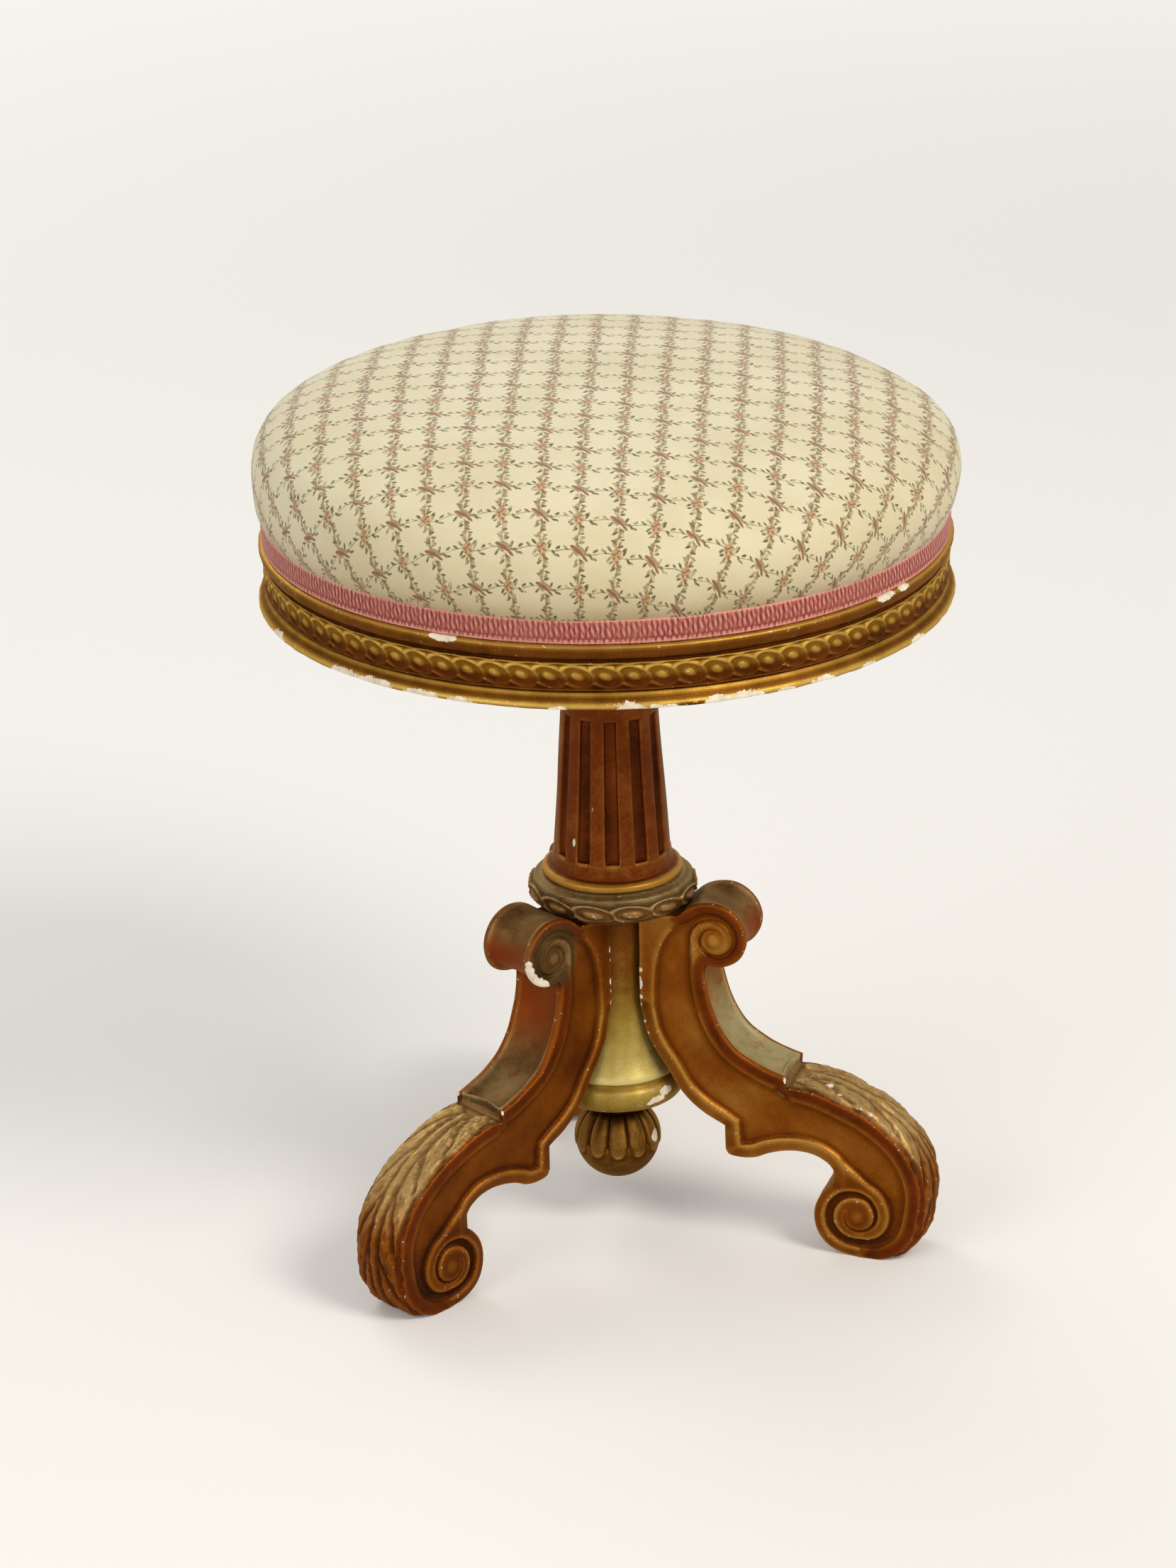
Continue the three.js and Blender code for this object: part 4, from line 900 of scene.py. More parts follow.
# Tone by height on the outside: lighter on the top of the bead, on the tops of the ogee's rolls and on the
# band's upper half; darker on the bead's lower half and the hollow under it, and on the band's lower half.
# This is partly dirt and partly painted light and shade, as from a lamp above. The inside is darker as
# well.
rail_heights, rail_dirt_and_shading = np.array([
    (381, -0.3), (381.9, -0.1), (382.8, 0.14), (384.8, 0.0), (386.4, -0.16), (388.4, 0.14),
    (390, -0.22), (391.5, -0.3), (396, -0.24), (399, 0.02), (403.5, 0.16), (405.5, -0.12),
    (407.6, -0.28), (410, -0.28), (412.8, -0.24), (414.4, -0.12), (415.6, 0.02)]).T
red_heights, rail_reds = np.array([
    (381, 0.1), (388, 0.0), (390, 0.25), (395.5, 0.3), (399, -0.05), (405, 0.0), (407, 0.3),
    (411.5, 0.28), (414.5, 0.34)]).T
rail_dirt_and_shading_tone = np.where(rail_outside, np.interp(rail_places[:, 2], rail_heights, rail_dirt_and_shading), -0.25)
rail_turn = off_angle(round_axis(rail_places), math.radians(FACING))
bare = (rail_places[:, 2] < 383) * np.exp(-((np.degrees(rail_turn) - 13) / 2.4) ** 4)
mark_wear(rail, rail_chips, rounds=16, tone=rail_dirt_and_shading_tone - 0.5 * bare,
          red=np.where(rail_outside, np.interp(rail_places[:, 2], red_heights, rail_reds), 0))
settle(rail, "seat", "gilding", rail_gilding, "seat_rail")

# %% [markdown]
# ## The column
#
# The column is a plain taper with twelve flutes, a bead at the foot and a block at the top that
# the seat hides. A flute is a channel with a hollow floor and square ends. Its walls are steep,
# so the grid needs its corners close together there: the angles are spaced within one flute, and
# that spacing is repeated twelve times.

# %% Column
FLUTES = 12
FLUTE_TURN = math.radians(17)
FLUTE_TOP, FLUTE_FOOT = 312.0, 229.0
SHAFT_END = 350.8
SHAFT_TOP, SHAFT_FOOT = 24.6, 32.6      # radii at those heights
FLUTE_DEPTH = 3.0
FLUTE_MOUTH = 0.25                      # half the mouth, as a share of the pitch


def shaft_radius(height):
    return np.interp(height, [FLUTE_FOOT, SHAFT_END], [SHAFT_FOOT, SHAFT_TOP])


def off_flute(angle):
    """How far an angle is from the middle of the nearest flute, as a share of the pitch."""
    return np.abs(off_angle(angle * FLUTES, FLUTE_TURN * FLUTES)) / (2 * math.pi)


def flute_relief(angle, along, radius, height):
    """A channel for each flute: steep walls at the mouth's edges, a floor that is hollow across,
    and square ends; and a little hand work."""
    share = off_flute(angle)
    wall = 1 - ease(share, FLUTE_MOUTH - 0.045, FLUTE_MOUTH)
    floor = 0.62 + 0.38 * np.cos(np.clip(share / FLUTE_MOUTH, 0, 1) * math.pi / 2)
    ends = ease(height, FLUTE_FOOT, FLUTE_FOOT + 0.9) * (1 - ease(height, FLUTE_TOP - 1.6, FLUTE_TOP))
    uneven = 0.14 * np.sin(angle * 5 + height * 0.06) + 0.05 * np.sin(angle * 23 + height * 0.11)
    return (radius > 20) * (uneven - FLUTE_DEPTH * wall * floor * ends)


mouth_edge = [-FLUTE_MOUTH, -FLUTE_MOUTH + 0.045, FLUTE_MOUTH - 0.045, FLUTE_MOUTH]
in_flute = np.unique(np.concatenate([np.linspace(-0.5, 0.5, 33)[:-1], mouth_edge,
                                     np.array(mouth_edge) + 0.022]))
flute_angles = (np.arange(FLUTES)[:, None] + in_flute[None, :]).ravel() * 2 * math.pi / FLUTES
flute_angles = flute_angles + FLUTE_TURN
foot_of_flute = [[shaft_radius(z), z] for z in (229.0, 229.3, 229.6, 229.9)]
column_line = np.concatenate([
    straight([[0, 165.5], [12, 165.5], [12, 214.5]], 8),
    straight([[12, 214.5], [36.8, 214.5]], 6)[1:],
    smooth([[37.6, 214.6], [38.8, 215.6], [39.0, 217.0], [38.7, 218.4], [37.4, 219.4]], 12),
    smooth([[35.9, 219.8], [34.6, 220.4], [33.9, 222.0], [33.3, 225.0], [32.9, 228.0]], 10),
    foot_of_flute,
    straight([[shaft_radius(230.4), 230.4], [shaft_radius(309), 309]], 2.6),
    straight([[shaft_radius(309.5), 309.5], [shaft_radius(312.5), 312.5]], 0.4),
    straight([[shaft_radius(314), 314], [24.6, 351.2]], 2.6),
    smooth([[24.4, 353], [23.9, 357], [24.2, 360], [25.4, 361.4], [26.3, 361.8]], 8),
    smooth([[26.8, 362.2], [27.0, 363], [27.0, 369.6], [26.6, 370.6], [26.0, 370.8]], 8),
    straight([[22, 370.8], [0, 370.8]], 6),
])
column = turned("fluted_column", column_line, flute_angles, flute_relief)


# %% Column's chips and colours, with a painted highlight on the bead
def turned_chip(degrees_right, height, radius, reach, tall):
    """A chip on a turned piece, by how far right of the camera's middle it lies."""
    angle = math.radians(FACING + degrees_right)
    return (np.array([radius * math.cos(angle), radius * math.sin(angle), height]),
            np.array([reach, reach, tall]))


column_chips = [turned_chip(*place) for place in [
    (34, 331, 26, 1.6, 4.5), (31, 318, 26, 1.2, 2.5), (12, 300, 28, 1.0, 1.6), (-20, 262, 30, 1, 2),
    (27, 275, 29.5, 1.0, 3.0), (-41, 240, 32, 1.5, 4), (140, 290, 29, 1.4, 5), (200, 330, 26, 1, 3)]]
column_places = corners_of(column)
near_foot = 1 - ease(column_places[:, 2], 222, 236)
in_floor = (1 - ease(off_flute(round_axis(column_places)), 0.2, 0.26)) * (1 - near_foot)
in_floor = in_floor * (column_places[:, 2] < FLUTE_TOP)
# The bead at the foot is painted lighter: a painted highlight where a lamp would shine on its round. The
# flutes' floors are darker.
bead_painted_highlight = (column_places[:, 2] < 219.6) & (column_places[:, 2] > 214.4)
streak = ripple(column_places * np.array([1, 1, 0.12]), 9, seed=41)
mark_wear(column, column_chips, rounds=14, red=0.2 * (1 - near_foot) - 0.1 + 0.12 * streak,
          tone=near_foot * 0.1 + 0.2 * bead_painted_highlight - (0.14 + 0.14 * streak) * in_floor
          + 0.06 * (1 - near_foot), calm=0.75 * (1 - near_foot))
settle(column, "base", "brown_gilding", column_gilding, "column_shaft")

# %% [markdown]
# ## Collar ring, hub and ball
#
# The collar is a ring of half-round section with the rail's chain on it, larger: thirteen ovals.
# The hub is a long bell with a round ring at its foot, and the ball under it is carved with
# twelve lobes that swell from its neck to just below its widest place and end round.

# %% Collar ring
COLLAR_FOOT, COLLAR_HEIGHT, COLLAR_RADIUS = 197.5, 16.7, 47.2
OVALS = 13
OVAL_TURN = math.radians(FACING + 13.5)
COLLAR_DEPTH = 2.0

collar_swell = COLLAR_HEIGHT / 2
collar_middle = COLLAR_FOOT + collar_swell
collar_turn = np.linspace(-math.pi / 2, math.pi / 2, 41)
collar_face = np.stack([COLLAR_RADIUS - collar_swell + collar_swell * np.cos(collar_turn),
                        collar_middle + collar_swell * np.sin(collar_turn)], axis=-1)
collar_line = np.concatenate([collar_face, [[30, 214.2], [12.4, 214.2], [12.4, 197.5], [30, 197.5]]])


def collar_relief(angle, along, radius, height):
    """The chain across the lower half of the half-round, where the camera and a guest see it, and
    a rounded bead above it."""
    tilt = np.arctan2(height - collar_middle, radius - (COLLAR_RADIUS - collar_swell))
    across = (tilt + 0.12) * collar_swell
    cell = (off_angle(angle, OVAL_TURN) * OVALS / (2 * math.pi) + 0.5) % 1 - 0.5
    rings = chain(cell, across, 0.52, 5.2, 0.9, 0.3, 3.0, slant=0.5)
    band = 1 - ease(np.abs(across), 5.6, 7.0)
    on_face = (radius > COLLAR_RADIUS - collar_swell + 0.2) * (np.abs(tilt) < 1.45)
    groove = np.exp(-((np.abs(across) - 7.2) / 0.8) ** 2)
    return on_face * (COLLAR_DEPTH * band * (rings - 0.72) - 0.7 * groove)


collar = turned("oval_collar", collar_line, circle(OVALS * 36), collar_relief)
collar_places = corners_of(collar)
mark_wear(collar, [turned_chip(-75, 202, 47, 3, 3), turned_chip(120, 205, 47, 4, 3)], rounds=16,
          green=0.45 + 0.35 * ease(collar_places[:, 2], 206, 213),
          tone=-0.08 - 0.1 * ease(-collar_places[:, 2], -203, -199))
settle(collar, "base", "gilding", leg_gilding, "collar_ring")

# %% Hub
HUB_FOOT, HUB_TOP = 80.0, 197.2
hub_line = np.concatenate([
    straight([[0, HUB_FOOT], [32, HUB_FOOT]], 6),
    smooth([[33.6, 80.0], [36.4, 81.6], [38.0, 85.0], [37.9, 88.6], [36.6, 92.0], [34.6, 94.2]], 26),
    smooth([[34.0, 94.8], [33.7, 96.0], [34.3, 97.0], [34.2, 98.2]], 10),
    smooth([[33.4, 100], [31.0, 104.6], [28.6, 110], [27.0, 115], [25.2, 122], [23.9, 130],
            [22.9, 140], [22.5, 150]], 40),
    straight([[22.5, 152], [22.5, 188]], 4),
    smooth([[22.5, 190], [23.0, 193], [24.2, HUB_TOP]], 5),
    straight([[20, HUB_TOP], [12.4, HUB_TOP], [12.4, 165.2], [0, 165.2]], 6)])


def hub_relief(angle, along, radius, height):
    """Long shallow marks of the tool down the bell."""
    return 0.06 * np.sin(angle * 7 + height * 0.05) + 0.03 * np.sin(angle * 19 - height * 0.03)


hub = turned("bell_hub", hub_line, circle(160), hub_relief)
hub_places = corners_of(hub)
# The tone by height is partly the bell's own paler gilding and partly painted light: painted shade under
# the round ring and up the neck, between the legs and under the seat, and a painted highlight at the bell's
# foot just above the ring.
mark_wear(hub, [turned_chip(37, 86.5, 38, 7, 2.8), turned_chip(47, 89.5, 38, 8, 3.4),
                turned_chip(30, 85, 38, 4.4, 1.8), turned_chip(170, 86, 38, 6, 4)],
          rounds=30, red=-0.5 + 0.75 * ease(hub_places[:, 2], 110, 175),
          tone=np.interp(hub_places[:, 2], [80, 92, 94, 97, 99, 125, 160],
                         [-0.38, -0.12, -0.1, 0.12, 0.18, 0.03, -0.26]))
settle(hub, "base", "gilding", hub_gilding, "hub")

# %% Ball finial
BALL_RADIUS, BALL_CENTRE = 24.6, 51.0
BALL_NECK = 15.0
GADROONS = 12
GADROON_DEPTH = 2.2

neck_turn = math.pi - math.asin(BALL_NECK / BALL_RADIUS)
ball_turn = np.linspace(0, neck_turn, 70)
ball_line = np.stack([BALL_RADIUS * np.sin(ball_turn),
                      BALL_CENTRE - BALL_RADIUS * np.cos(ball_turn)], axis=-1)
ball_line = np.concatenate([ball_line, straight([[BALL_NECK, 72.4], [BALL_NECK, 79.7]], 1.8),
                            [[8, 79.7], [0, 79.7]]])
ball_line[0, 0] = 0


def gadroon_relief(angle, along, radius, height):
    """Twelve lobes: each is rounded across, and ends in a half circle below the ball's middle;
    grooves between them fade at the neck."""
    share = np.abs(off_angle(angle * GADROONS, math.radians(FACING) * GADROONS)) / math.pi
    end = BALL_CENTRE - 5 + 7 * share ** 2.2
    lobe = np.sqrt(np.clip(1 - share ** 2, 0, 1))
    inside = ease(height, end - 0.8, end + 0.8) * (1 - ease(height, 72, 77))
    return inside * (GADROON_DEPTH * (lobe - 1)) - (1 - inside) * (height < 60) * 0.7


ball = turned("gadroon_ball", ball_line, circle(GADROONS * 22, math.radians(FACING)), gadroon_relief)
mark_wear(ball, [turned_chip(62, 55, 23, 5.4, 6.2), turned_chip(-150, 50, 24, 3, 3)], rounds=26)
settle(ball, "base", "gilding", ball_gilding, "finial")

# %% [markdown]
# ## The legs
#
# A leg is sawn from a plank along one outline, and then carved: a raised border runs round a sunk
# panel on each side and rolls up into both scrolls, the front is hollowed between two raised
# edges down to the knee, and an acanthus leaf covers the foot. The outline is laid out first,
# from a few places in shares of the leg's own length and height. The front and back faces are
# then a strip carried round it, and each side is a sheet of small triangles inside it.

# %% Leg outline
LEG_IN, LEG_REACH, LEG_TOP = 20.0, 181.0, 197.2
LEG_HALF = 19.0
SCROLL_DECAY = 0.52             # what is left of a scroll's radius after a whole turn
HEAD_RADIUS, FOOT_RADIUS = 21.5, 25.0
HEAD_START, HEAD_END = -52, 198     # degrees on the head's spiral, where the outline joins
FOOT_START, FOOT_END = 95, 322      # and leaves it; and on the foot's
OUTLINE_STEP = 1.0
EDGE_ROUND = 0.9


def leg_places(shares):
    shares = np.atleast_2d(np.asarray(shares, float))
    return np.stack([LEG_IN + shares[:, 0] * (LEG_REACH - LEG_IN), shares[:, 1] * LEG_TOP], axis=-1)


def even(line, step):
    """The same line with places at even distances."""
    length = np.concatenate([[0], np.cumsum(np.linalg.norm(np.diff(line, axis=0), axis=1))])
    wanted = np.linspace(0, length[-1], max(2, int(round(length[-1] / step)) + 1))
    return np.stack([np.interp(wanted, length, line[:, k]) for k in range(2)], axis=-1)


def scroll(eye, radius, from_angle, start, end, share=1.0):
    """A spiral round an eye: angles in degrees clockwise from straight up; the radius shrinks by
    the decay for each whole turn past from_angle."""
    angle = np.linspace(start, end, 160)
    shrunk = share * radius * SCROLL_DECAY ** ((angle - from_angle) / 360)
    turned_to = np.radians(angle)
    return np.stack([eye[0] + shrunk * np.sin(turned_to), eye[1] + shrunk * np.cos(turned_to)], -1)


HEAD_EYE = leg_places([0.268, 0.936])[0]
FOOT_EYE = leg_places([0.774, 0.127])[0]


def head_scroll(start, end, share=1.0):
    return scroll(HEAD_EYE, HEAD_RADIUS, 0, start, end, share)


def foot_scroll(start, end, share=1.0):
    """The foot's spiral, drawn in where it meets the floor, so that its rim stays round there."""
    line = scroll(FOOT_EYE, FOOT_RADIUS, 270, start, end, share)
    drawn_in = 1 - 0.14 * np.exp(-((np.linspace(start, end, len(line)) - 178) / 38) ** 2)
    return FOOT_EYE + (line - FOOT_EYE) * drawn_in[:, None]


front_upper = leg_places([[0.233, 0.845], [0.236, 0.795], [0.252, 0.735], [0.285, 0.665],
                          [0.34, 0.605], [0.43, 0.56], [0.525, 0.532]])
lip_foot = leg_places([0.522, 0.505])
front_lower = np.concatenate([
    leg_places([[0.55, 0.507], [0.62, 0.497], [0.72, 0.467], [0.81, 0.432], [0.895, 0.38],
                [0.95, 0.328], [0.985, 0.268], [0.999, 0.2]]),
    foot_scroll(FOOT_START, FOOT_END)[:1]])
arch = leg_places([[0.688, 0.262], [0.667, 0.281], [0.62, 0.302], [0.565, 0.309], [0.505, 0.304],
                   [0.455, 0.292], [0.41, 0.276], [0.36, 0.271], [0.315, 0.276], [0.3, 0.294]])
notch = leg_places([0.298, 0.365])
bell_side = leg_places([[0.262, 0.381], [0.223, 0.4], [0.18, 0.427], [0.137, 0.466],
                        [0.093, 0.527], [0.056, 0.573], [0.025, 0.624], [0.012, 0.659], [0, 0.715]])

on_floor = foot_scroll(FOOT_START, 158)
on_floor[:, 1] = np.maximum(on_floor[:, 1], 0)
off_floor = foot_scroll(190, FOOT_END)
off_floor[:, 1] = np.maximum(off_floor[:, 1], 0)
head_line = head_scroll(HEAD_START, HEAD_END)
stretches = {
    "head": head_line,
    "gutter": smooth(front_upper, 200),
    "lip": np.concatenate([front_upper[-1:], lip_foot]),
    "leaf": np.concatenate([lip_foot, smooth(front_lower, 200), on_floor[1:]]),
    "floor": np.stack([on_floor[-1], off_floor[0]]),
    "foot": off_floor,
    "arch": np.concatenate([off_floor[-1:], smooth(arch, 200)]),
    "notch": np.concatenate([arch[-1:], notch]),
    "bell": np.concatenate([notch, smooth(bell_side, 200)]),
    "inner": np.array([bell_side[-1], [LEG_IN, LEG_TOP]]),
    "top": np.array([[LEG_IN, LEG_TOP], [head_line[0, 0] - 2.5, LEG_TOP], head_line[0]]),
}
outline_parts = {name: even(line, OUTLINE_STEP)[:-1] for name, line in stretches.items()}
outline = np.concatenate(list(outline_parts.values()))
region = np.concatenate([[name] * len(part) for name, part in outline_parts.items()])
before, after = np.roll(outline, 1, axis=0), np.roll(outline, -1, axis=0)
way = after - before
way /= np.linalg.norm(way, axis=1)[:, None]
outward = np.stack([-way[:, 1], way[:, 0]], axis=-1)
ring = outline - outward * EDGE_ROUND
print("leg outline:", len(outline), "places")

# %% [markdown]
# The sunk panel has an outline of its own, a border's width inside the leg's. It runs into each
# scroll as a groove and out again, so the border is left standing as a spiral. How deep a place
# on the side lies then follows from its distances to these lines.

# %% Panel outline and the side's depths
BORDER = 8.0
PANEL_DEPTH = 2.4
GROOVE_SHARE = 0.76
BEVEL_DEPTH = 1.9               # how far the border along the underside falls to its outer edge
PANEL_ARCH = [[45.5, 193.9], [40.5, 190.3], [35.4, 184.2], [31.6, 176.2], [29.2, 166], [28.2, 153]]


def groove_share(start, end, outer):
    """The groove's outer side, as a share of the spiral: it narrows as it winds in to the eye."""
    return np.interp(np.linspace(start, end, 160), [outer, outer + 230, outer + 560],
                     [GROOVE_SHARE, GROOVE_SHARE, 0.56])


def beside(line, distance):
    """A line moved to the right of its own direction."""
    step = np.gradient(line, axis=0)
    step /= np.linalg.norm(step, axis=1)[:, None]
    return line + distance * np.stack([step[:, 1], -step[:, 0]], axis=-1)


panel = np.concatenate([even(part, 1.0) for part in [
    head_scroll(-95, 500, SCROLL_DECAY),
    head_scroll(500, HEAD_START, groove_share(500, HEAD_START, HEAD_START)),
    np.concatenate([smooth(np.array(PANEL_ARCH), 40), beside(smooth(bell_side, 60), BORDER)[::-1],
                    notch + [BORDER, BORDER / 2],
                    beside(smooth(arch[:-2], 60), BORDER)[::-1]]),
    foot_scroll(18, 650, SCROLL_DECAY),
    foot_scroll(650, FOOT_START, groove_share(650, FOOT_START, FOOT_START)),
    beside(smooth(front_lower, 80), BORDER)[::-1][1:],
    beside(smooth(front_upper, 50), BORDER)[::-1][1:]]])


# %% Depths of the side
def line_distance(places, line):
    """Shortest distance from each place to a line, taken one stretch of the line at a time."""
    nearest = np.full(len(places), np.inf)
    for start, end in zip(line[:-1], line[1:]):
        step = end - start
        size = max(step @ step, 1e-12)
        share = np.clip((places - start) @ step / size, 0, 1)[:, None]
        nearest = np.minimum(nearest, np.linalg.norm(places - start - share * step, axis=1))
    return nearest


def is_inside(places, closed_line):
    """Whether each place is inside a closed line: a ray to the right crosses it an odd number of
    times."""
    crossings = np.zeros(len(places), int)
    for (x1, z1), (x2, z2) in zip(closed_line, np.roll(closed_line, -1, axis=0)):
        spans = (z1 > places[:, 1]) != (z2 > places[:, 1])
        if z1 != z2:
            crossings += spans & (places[:, 0] < (x2 - x1) * (places[:, 1] - z1) / (z2 - z1) + x1)
    return crossings % 2 == 1


front_line = np.concatenate([outline_parts[name] for name in ("head", "gutter", "leaf")])
under_line = np.concatenate([outline_parts[name] for name in ("foot", "arch", "notch", "bell")])
closed_panel = np.concatenate([panel, panel[:1]])


def side_sink(places):
    """How far a place on the side lies below the border's face: a soft wall down to the panel, a
    bevel on the border along the underside, a ridge beside the panel, and a dome in each eye."""
    to_panel = line_distance(places, closed_panel)
    within = is_inside(places, panel)
    to_front, to_under = line_distance(places, front_line), line_distance(places, under_line)
    sink = PANEL_DEPTH * ease(np.where(within, to_panel, 0), 0.1, 1.5)
    under = ease(to_front - to_under, -3, 3) * ~within
    sink += under * BEVEL_DEPTH * (1 - np.clip(to_under / (BORDER - 1.2), 0, 1)) ** 1.2
    sink -= 0.24 * np.where(within, 0, np.exp(-((to_panel - 0.7) / 0.8) ** 2)) * under
    for eye, reach in ((HEAD_EYE, 4.3), (FOOT_EYE, 4.7)):
        far = np.linalg.norm(places - eye, axis=1) / reach
        sink = np.where(far < 1, sink * ease(far, 0.5, 1) - 0.8 * (1 - far ** 2), sink)
    spatial = np.stack([places[:, 0], places[:, 1] * 0, places[:, 1]], axis=-1)
    return sink + 0.16 * ripple(spatial, 15, seed=11) + 0.12 * ripple(spatial, 48, seed=12)


# %% Triangles of the side
SIDE_PITCH = 0.85

columns = np.arange(LEG_IN - 1, LEG_REACH + 2, SIDE_PITCH)
rows = np.arange(-1, 212, SIDE_PITCH * 0.87)
x_grid, z_grid = np.meshgrid(columns, rows)
x_grid = x_grid + np.where(np.arange(len(rows)) % 2, SIDE_PITCH / 2, 0)[:, None]
inner = np.stack([x_grid.ravel(), z_grid.ravel()], axis=-1)
inner = inner[is_inside(inner, ring)]
closed_ring = np.concatenate([ring, ring[:1]])
inner = inner[line_distance(inner, closed_ring) > 0.5 * SIDE_PITCH]
inner = inner[line_distance(inner, closed_panel) > 0.4 * SIDE_PITCH]
wall_line = panel[is_inside(panel, ring)]
wall_line = wall_line[line_distance(wall_line, closed_ring) > 0.3]
flat_places = np.concatenate([ring, wall_line, inner])
ring_count = len(ring)
ring_order = list(range(ring_count))
ring_edges = list(zip(ring_order, ring_order[1:] + ring_order[:1]))
side_corners, _, side_faces, *_ = delaunay_2d_cdt(
    [Vector(p) for p in flat_places.tolist()], ring_edges, [ring_order], 1, 1e-6)
side_places = np.array([tuple(p) for p in side_corners])
side_triangles = np.array(side_faces)
a, b, c = (side_places[side_triangles[:, k]] for k in range(3))
clockwise = np.cross(b - a, c - a) < 0
side_triangles[clockwise] = side_triangles[clockwise][:, ::-1]
side_depth = side_sink(side_places)
print("leg side:", len(side_places), "places,", len(side_triangles), "triangles")

# %% [markdown]
# The strip round the outline holds the rest of the carving. Its height is a function of two
# numbers: how far along the outline a place is, and how far across. Down the upper front it is a
# gutter; at the knee the gutter's floor stops short of its two corners; and below that it is the
# leaf, with a middle rib and slanting lobes that overlap like feathers.

# %% Strip round the outline
GUTTER_DEPTH, GUTTER_EDGE = 3.2, 4.6
LEAF_CROWN = 3.4
LOBE_LENGTH = 31.0
LOBE_SLANT = 2.7                # millimetres along the leg for each one across it
LOBE_ACROSS = math.hypot(1, LOBE_SLANT)


def leaf_height(along, across):
    """The leaf above its ground: a body, a middle rib, long lobes that stream down from it with a
    groove between them, strands along each lobe, and a small hole by the margin at each root."""
    side = np.abs(across)
    drift = 1.6 * np.sin(along * 0.09 + np.sign(across)) + 0.7 * np.sin(along * 0.31 + side * 0.4)
    phase = (along + drift - LOBE_SLANT * side) / LOBE_LENGTH
    local = phase % 1
    from_groove = np.minimum(local, 1 - local) * LOBE_LENGTH / LOBE_ACROSS
    lobes = ease(side, 2.5, 6)
    height = 1.1 + 0.8 * np.sin(math.pi * local ** 0.8) * lobes
    height = height - 0.8 * np.exp(-(from_groove / 0.9) ** 2) * lobes
    strands = np.cos(2 * math.pi * (phase * 4 + 0.12 * np.sin(along * 0.23 + side)))
    height = height + 0.16 * strands * lobes
    height = height + 1.1 * np.exp(-(side / 1.9) ** 2) - 0.6 * np.exp(-((side - 3.8) / 1.0) ** 2)
    hole = np.hypot(from_groove, side - 12.6)
    height = height - 1.2 * np.exp(-(hole / 1.1) ** 2)
    edge = 15.0 + 1.9 * np.sin(math.pi * local)
    return height * (1 - ease(side, edge - 0.5, edge + 0.7))


# %% Strip's grid
across_shares = np.linspace(-1, 1, 39)
half_width = LEG_HALF - side_sink(ring)
flat_half = half_width - EDGE_ROUND
turns = np.radians([30, 60, 90])
round_out, round_in = EDGE_ROUND * np.sin(turns), EDGE_ROUND * (1 - np.cos(turns))
across = np.concatenate([-(flat_half[:, None] + round_out[None, ::-1]),
                         flat_half[:, None] * across_shares,
                         flat_half[:, None] + round_out[None, :]], axis=1)
inset = np.concatenate([round_in[::-1], np.zeros(len(across_shares)), round_in])

# %% Gutter and leaf
step_lengths = np.linalg.norm(np.roll(outline, -1, axis=0) - outline, axis=1)
along_outline = np.concatenate([[0], np.cumsum(step_lengths)[:-1]])


def from_start(name):
    """Distance along the outline from where a stretch starts, and that stretch's length."""
    first = np.flatnonzero(region == name)
    return along_outline - along_outline[first[0]], along_outline[first[-1]] - along_outline[first[0]]


head_along, head_length = from_start("head")
leaf_along, leaf_length = from_start("leaf")
gutter = np.where(region == "head", ease(head_along, 0, head_length * 0.3), 0.0)
gutter = np.where(region == "gutter", 1.0, gutter)
in_leaf = (region == "leaf")
leaf_swell = in_leaf * ease(leaf_along, 2, leaf_length / 5)
leaf_swell *= 1 - ease(leaf_along, leaf_length * 0.78, leaf_length)
in_hollow = np.clip(np.abs(across) / (LEG_HALF - GUTTER_EDGE), 0, 1)
edge_bead = 0.5 * np.exp(-((np.abs(across) - 16.6) / 1.5) ** 2)
lift = gutter[:, None] * (edge_bead - GUTTER_DEPTH * (1 - in_hollow ** 2) ** 0.8)
lift += leaf_swell[:, None] * LEAF_CROWN * (1 - (across / LEG_HALF) ** 2)
leaf_start = 6.5 + 3.5 * np.cos(across / LEG_HALF * math.pi * 1.5)
leaf_on = in_leaf[:, None] * ease(leaf_along[:, None], leaf_start - 0.8, leaf_start + 0.8)
leaf_on *= 1 - ease(leaf_along[:, None], leaf_length - 14, leaf_length - 6)
lift += leaf_on * leaf_height(leaf_along[:, None], across)
strip_places = np.stack([np.broadcast_to(outline[:, :1], across.shape), across,
                         np.broadcast_to(outline[:, 1:], across.shape)], axis=-1)
lift += 0.16 * ripple(strip_places, 13, seed=21) * (region != "floor")[:, None]
lift += leaf_on * (0.3 * ripple(strip_places, 7, seed=22) + 0.2 * ripple(strip_places, 3, seed=23))

# %% Knee and seams
LIP_NOTCH = 4.2                 # how far the gutter's floor stops short of its corners
lip_along = along_outline - along_outline[np.flatnonzero(region == "lip")[0]]
lip_near = np.exp(-(lip_along / 6.0) ** 2) * (lip_along <= 5.3)
gutter_way = front_upper[-1] - front_upper[-2]
gutter_way /= np.linalg.norm(gutter_way)
drawn_back = lip_near[:, None] * LIP_NOTCH * (1 - (across / LEG_HALF) ** 2)
to_seam = ease(half_width[:, None] - np.abs(across), 0, 0.9)
drawn_back = drawn_back * to_seam
lift_and_inset = lift * to_seam - inset
strip = np.stack([
    outline[:, :1] + outward[:, :1] * lift_and_inset - gutter_way[0] * drawn_back,
    across,
    outline[:, 1:] + outward[:, 1:] * lift_and_inset - gutter_way[1] * drawn_back], axis=-1)
strip[..., 2] = np.maximum(strip[..., 2], 0)
print("leg strip:", strip.shape[:2], "corners")

# %% Leg pieces
HUB_SPACE = 22.7                # the legs' inner ends stay outside this radius

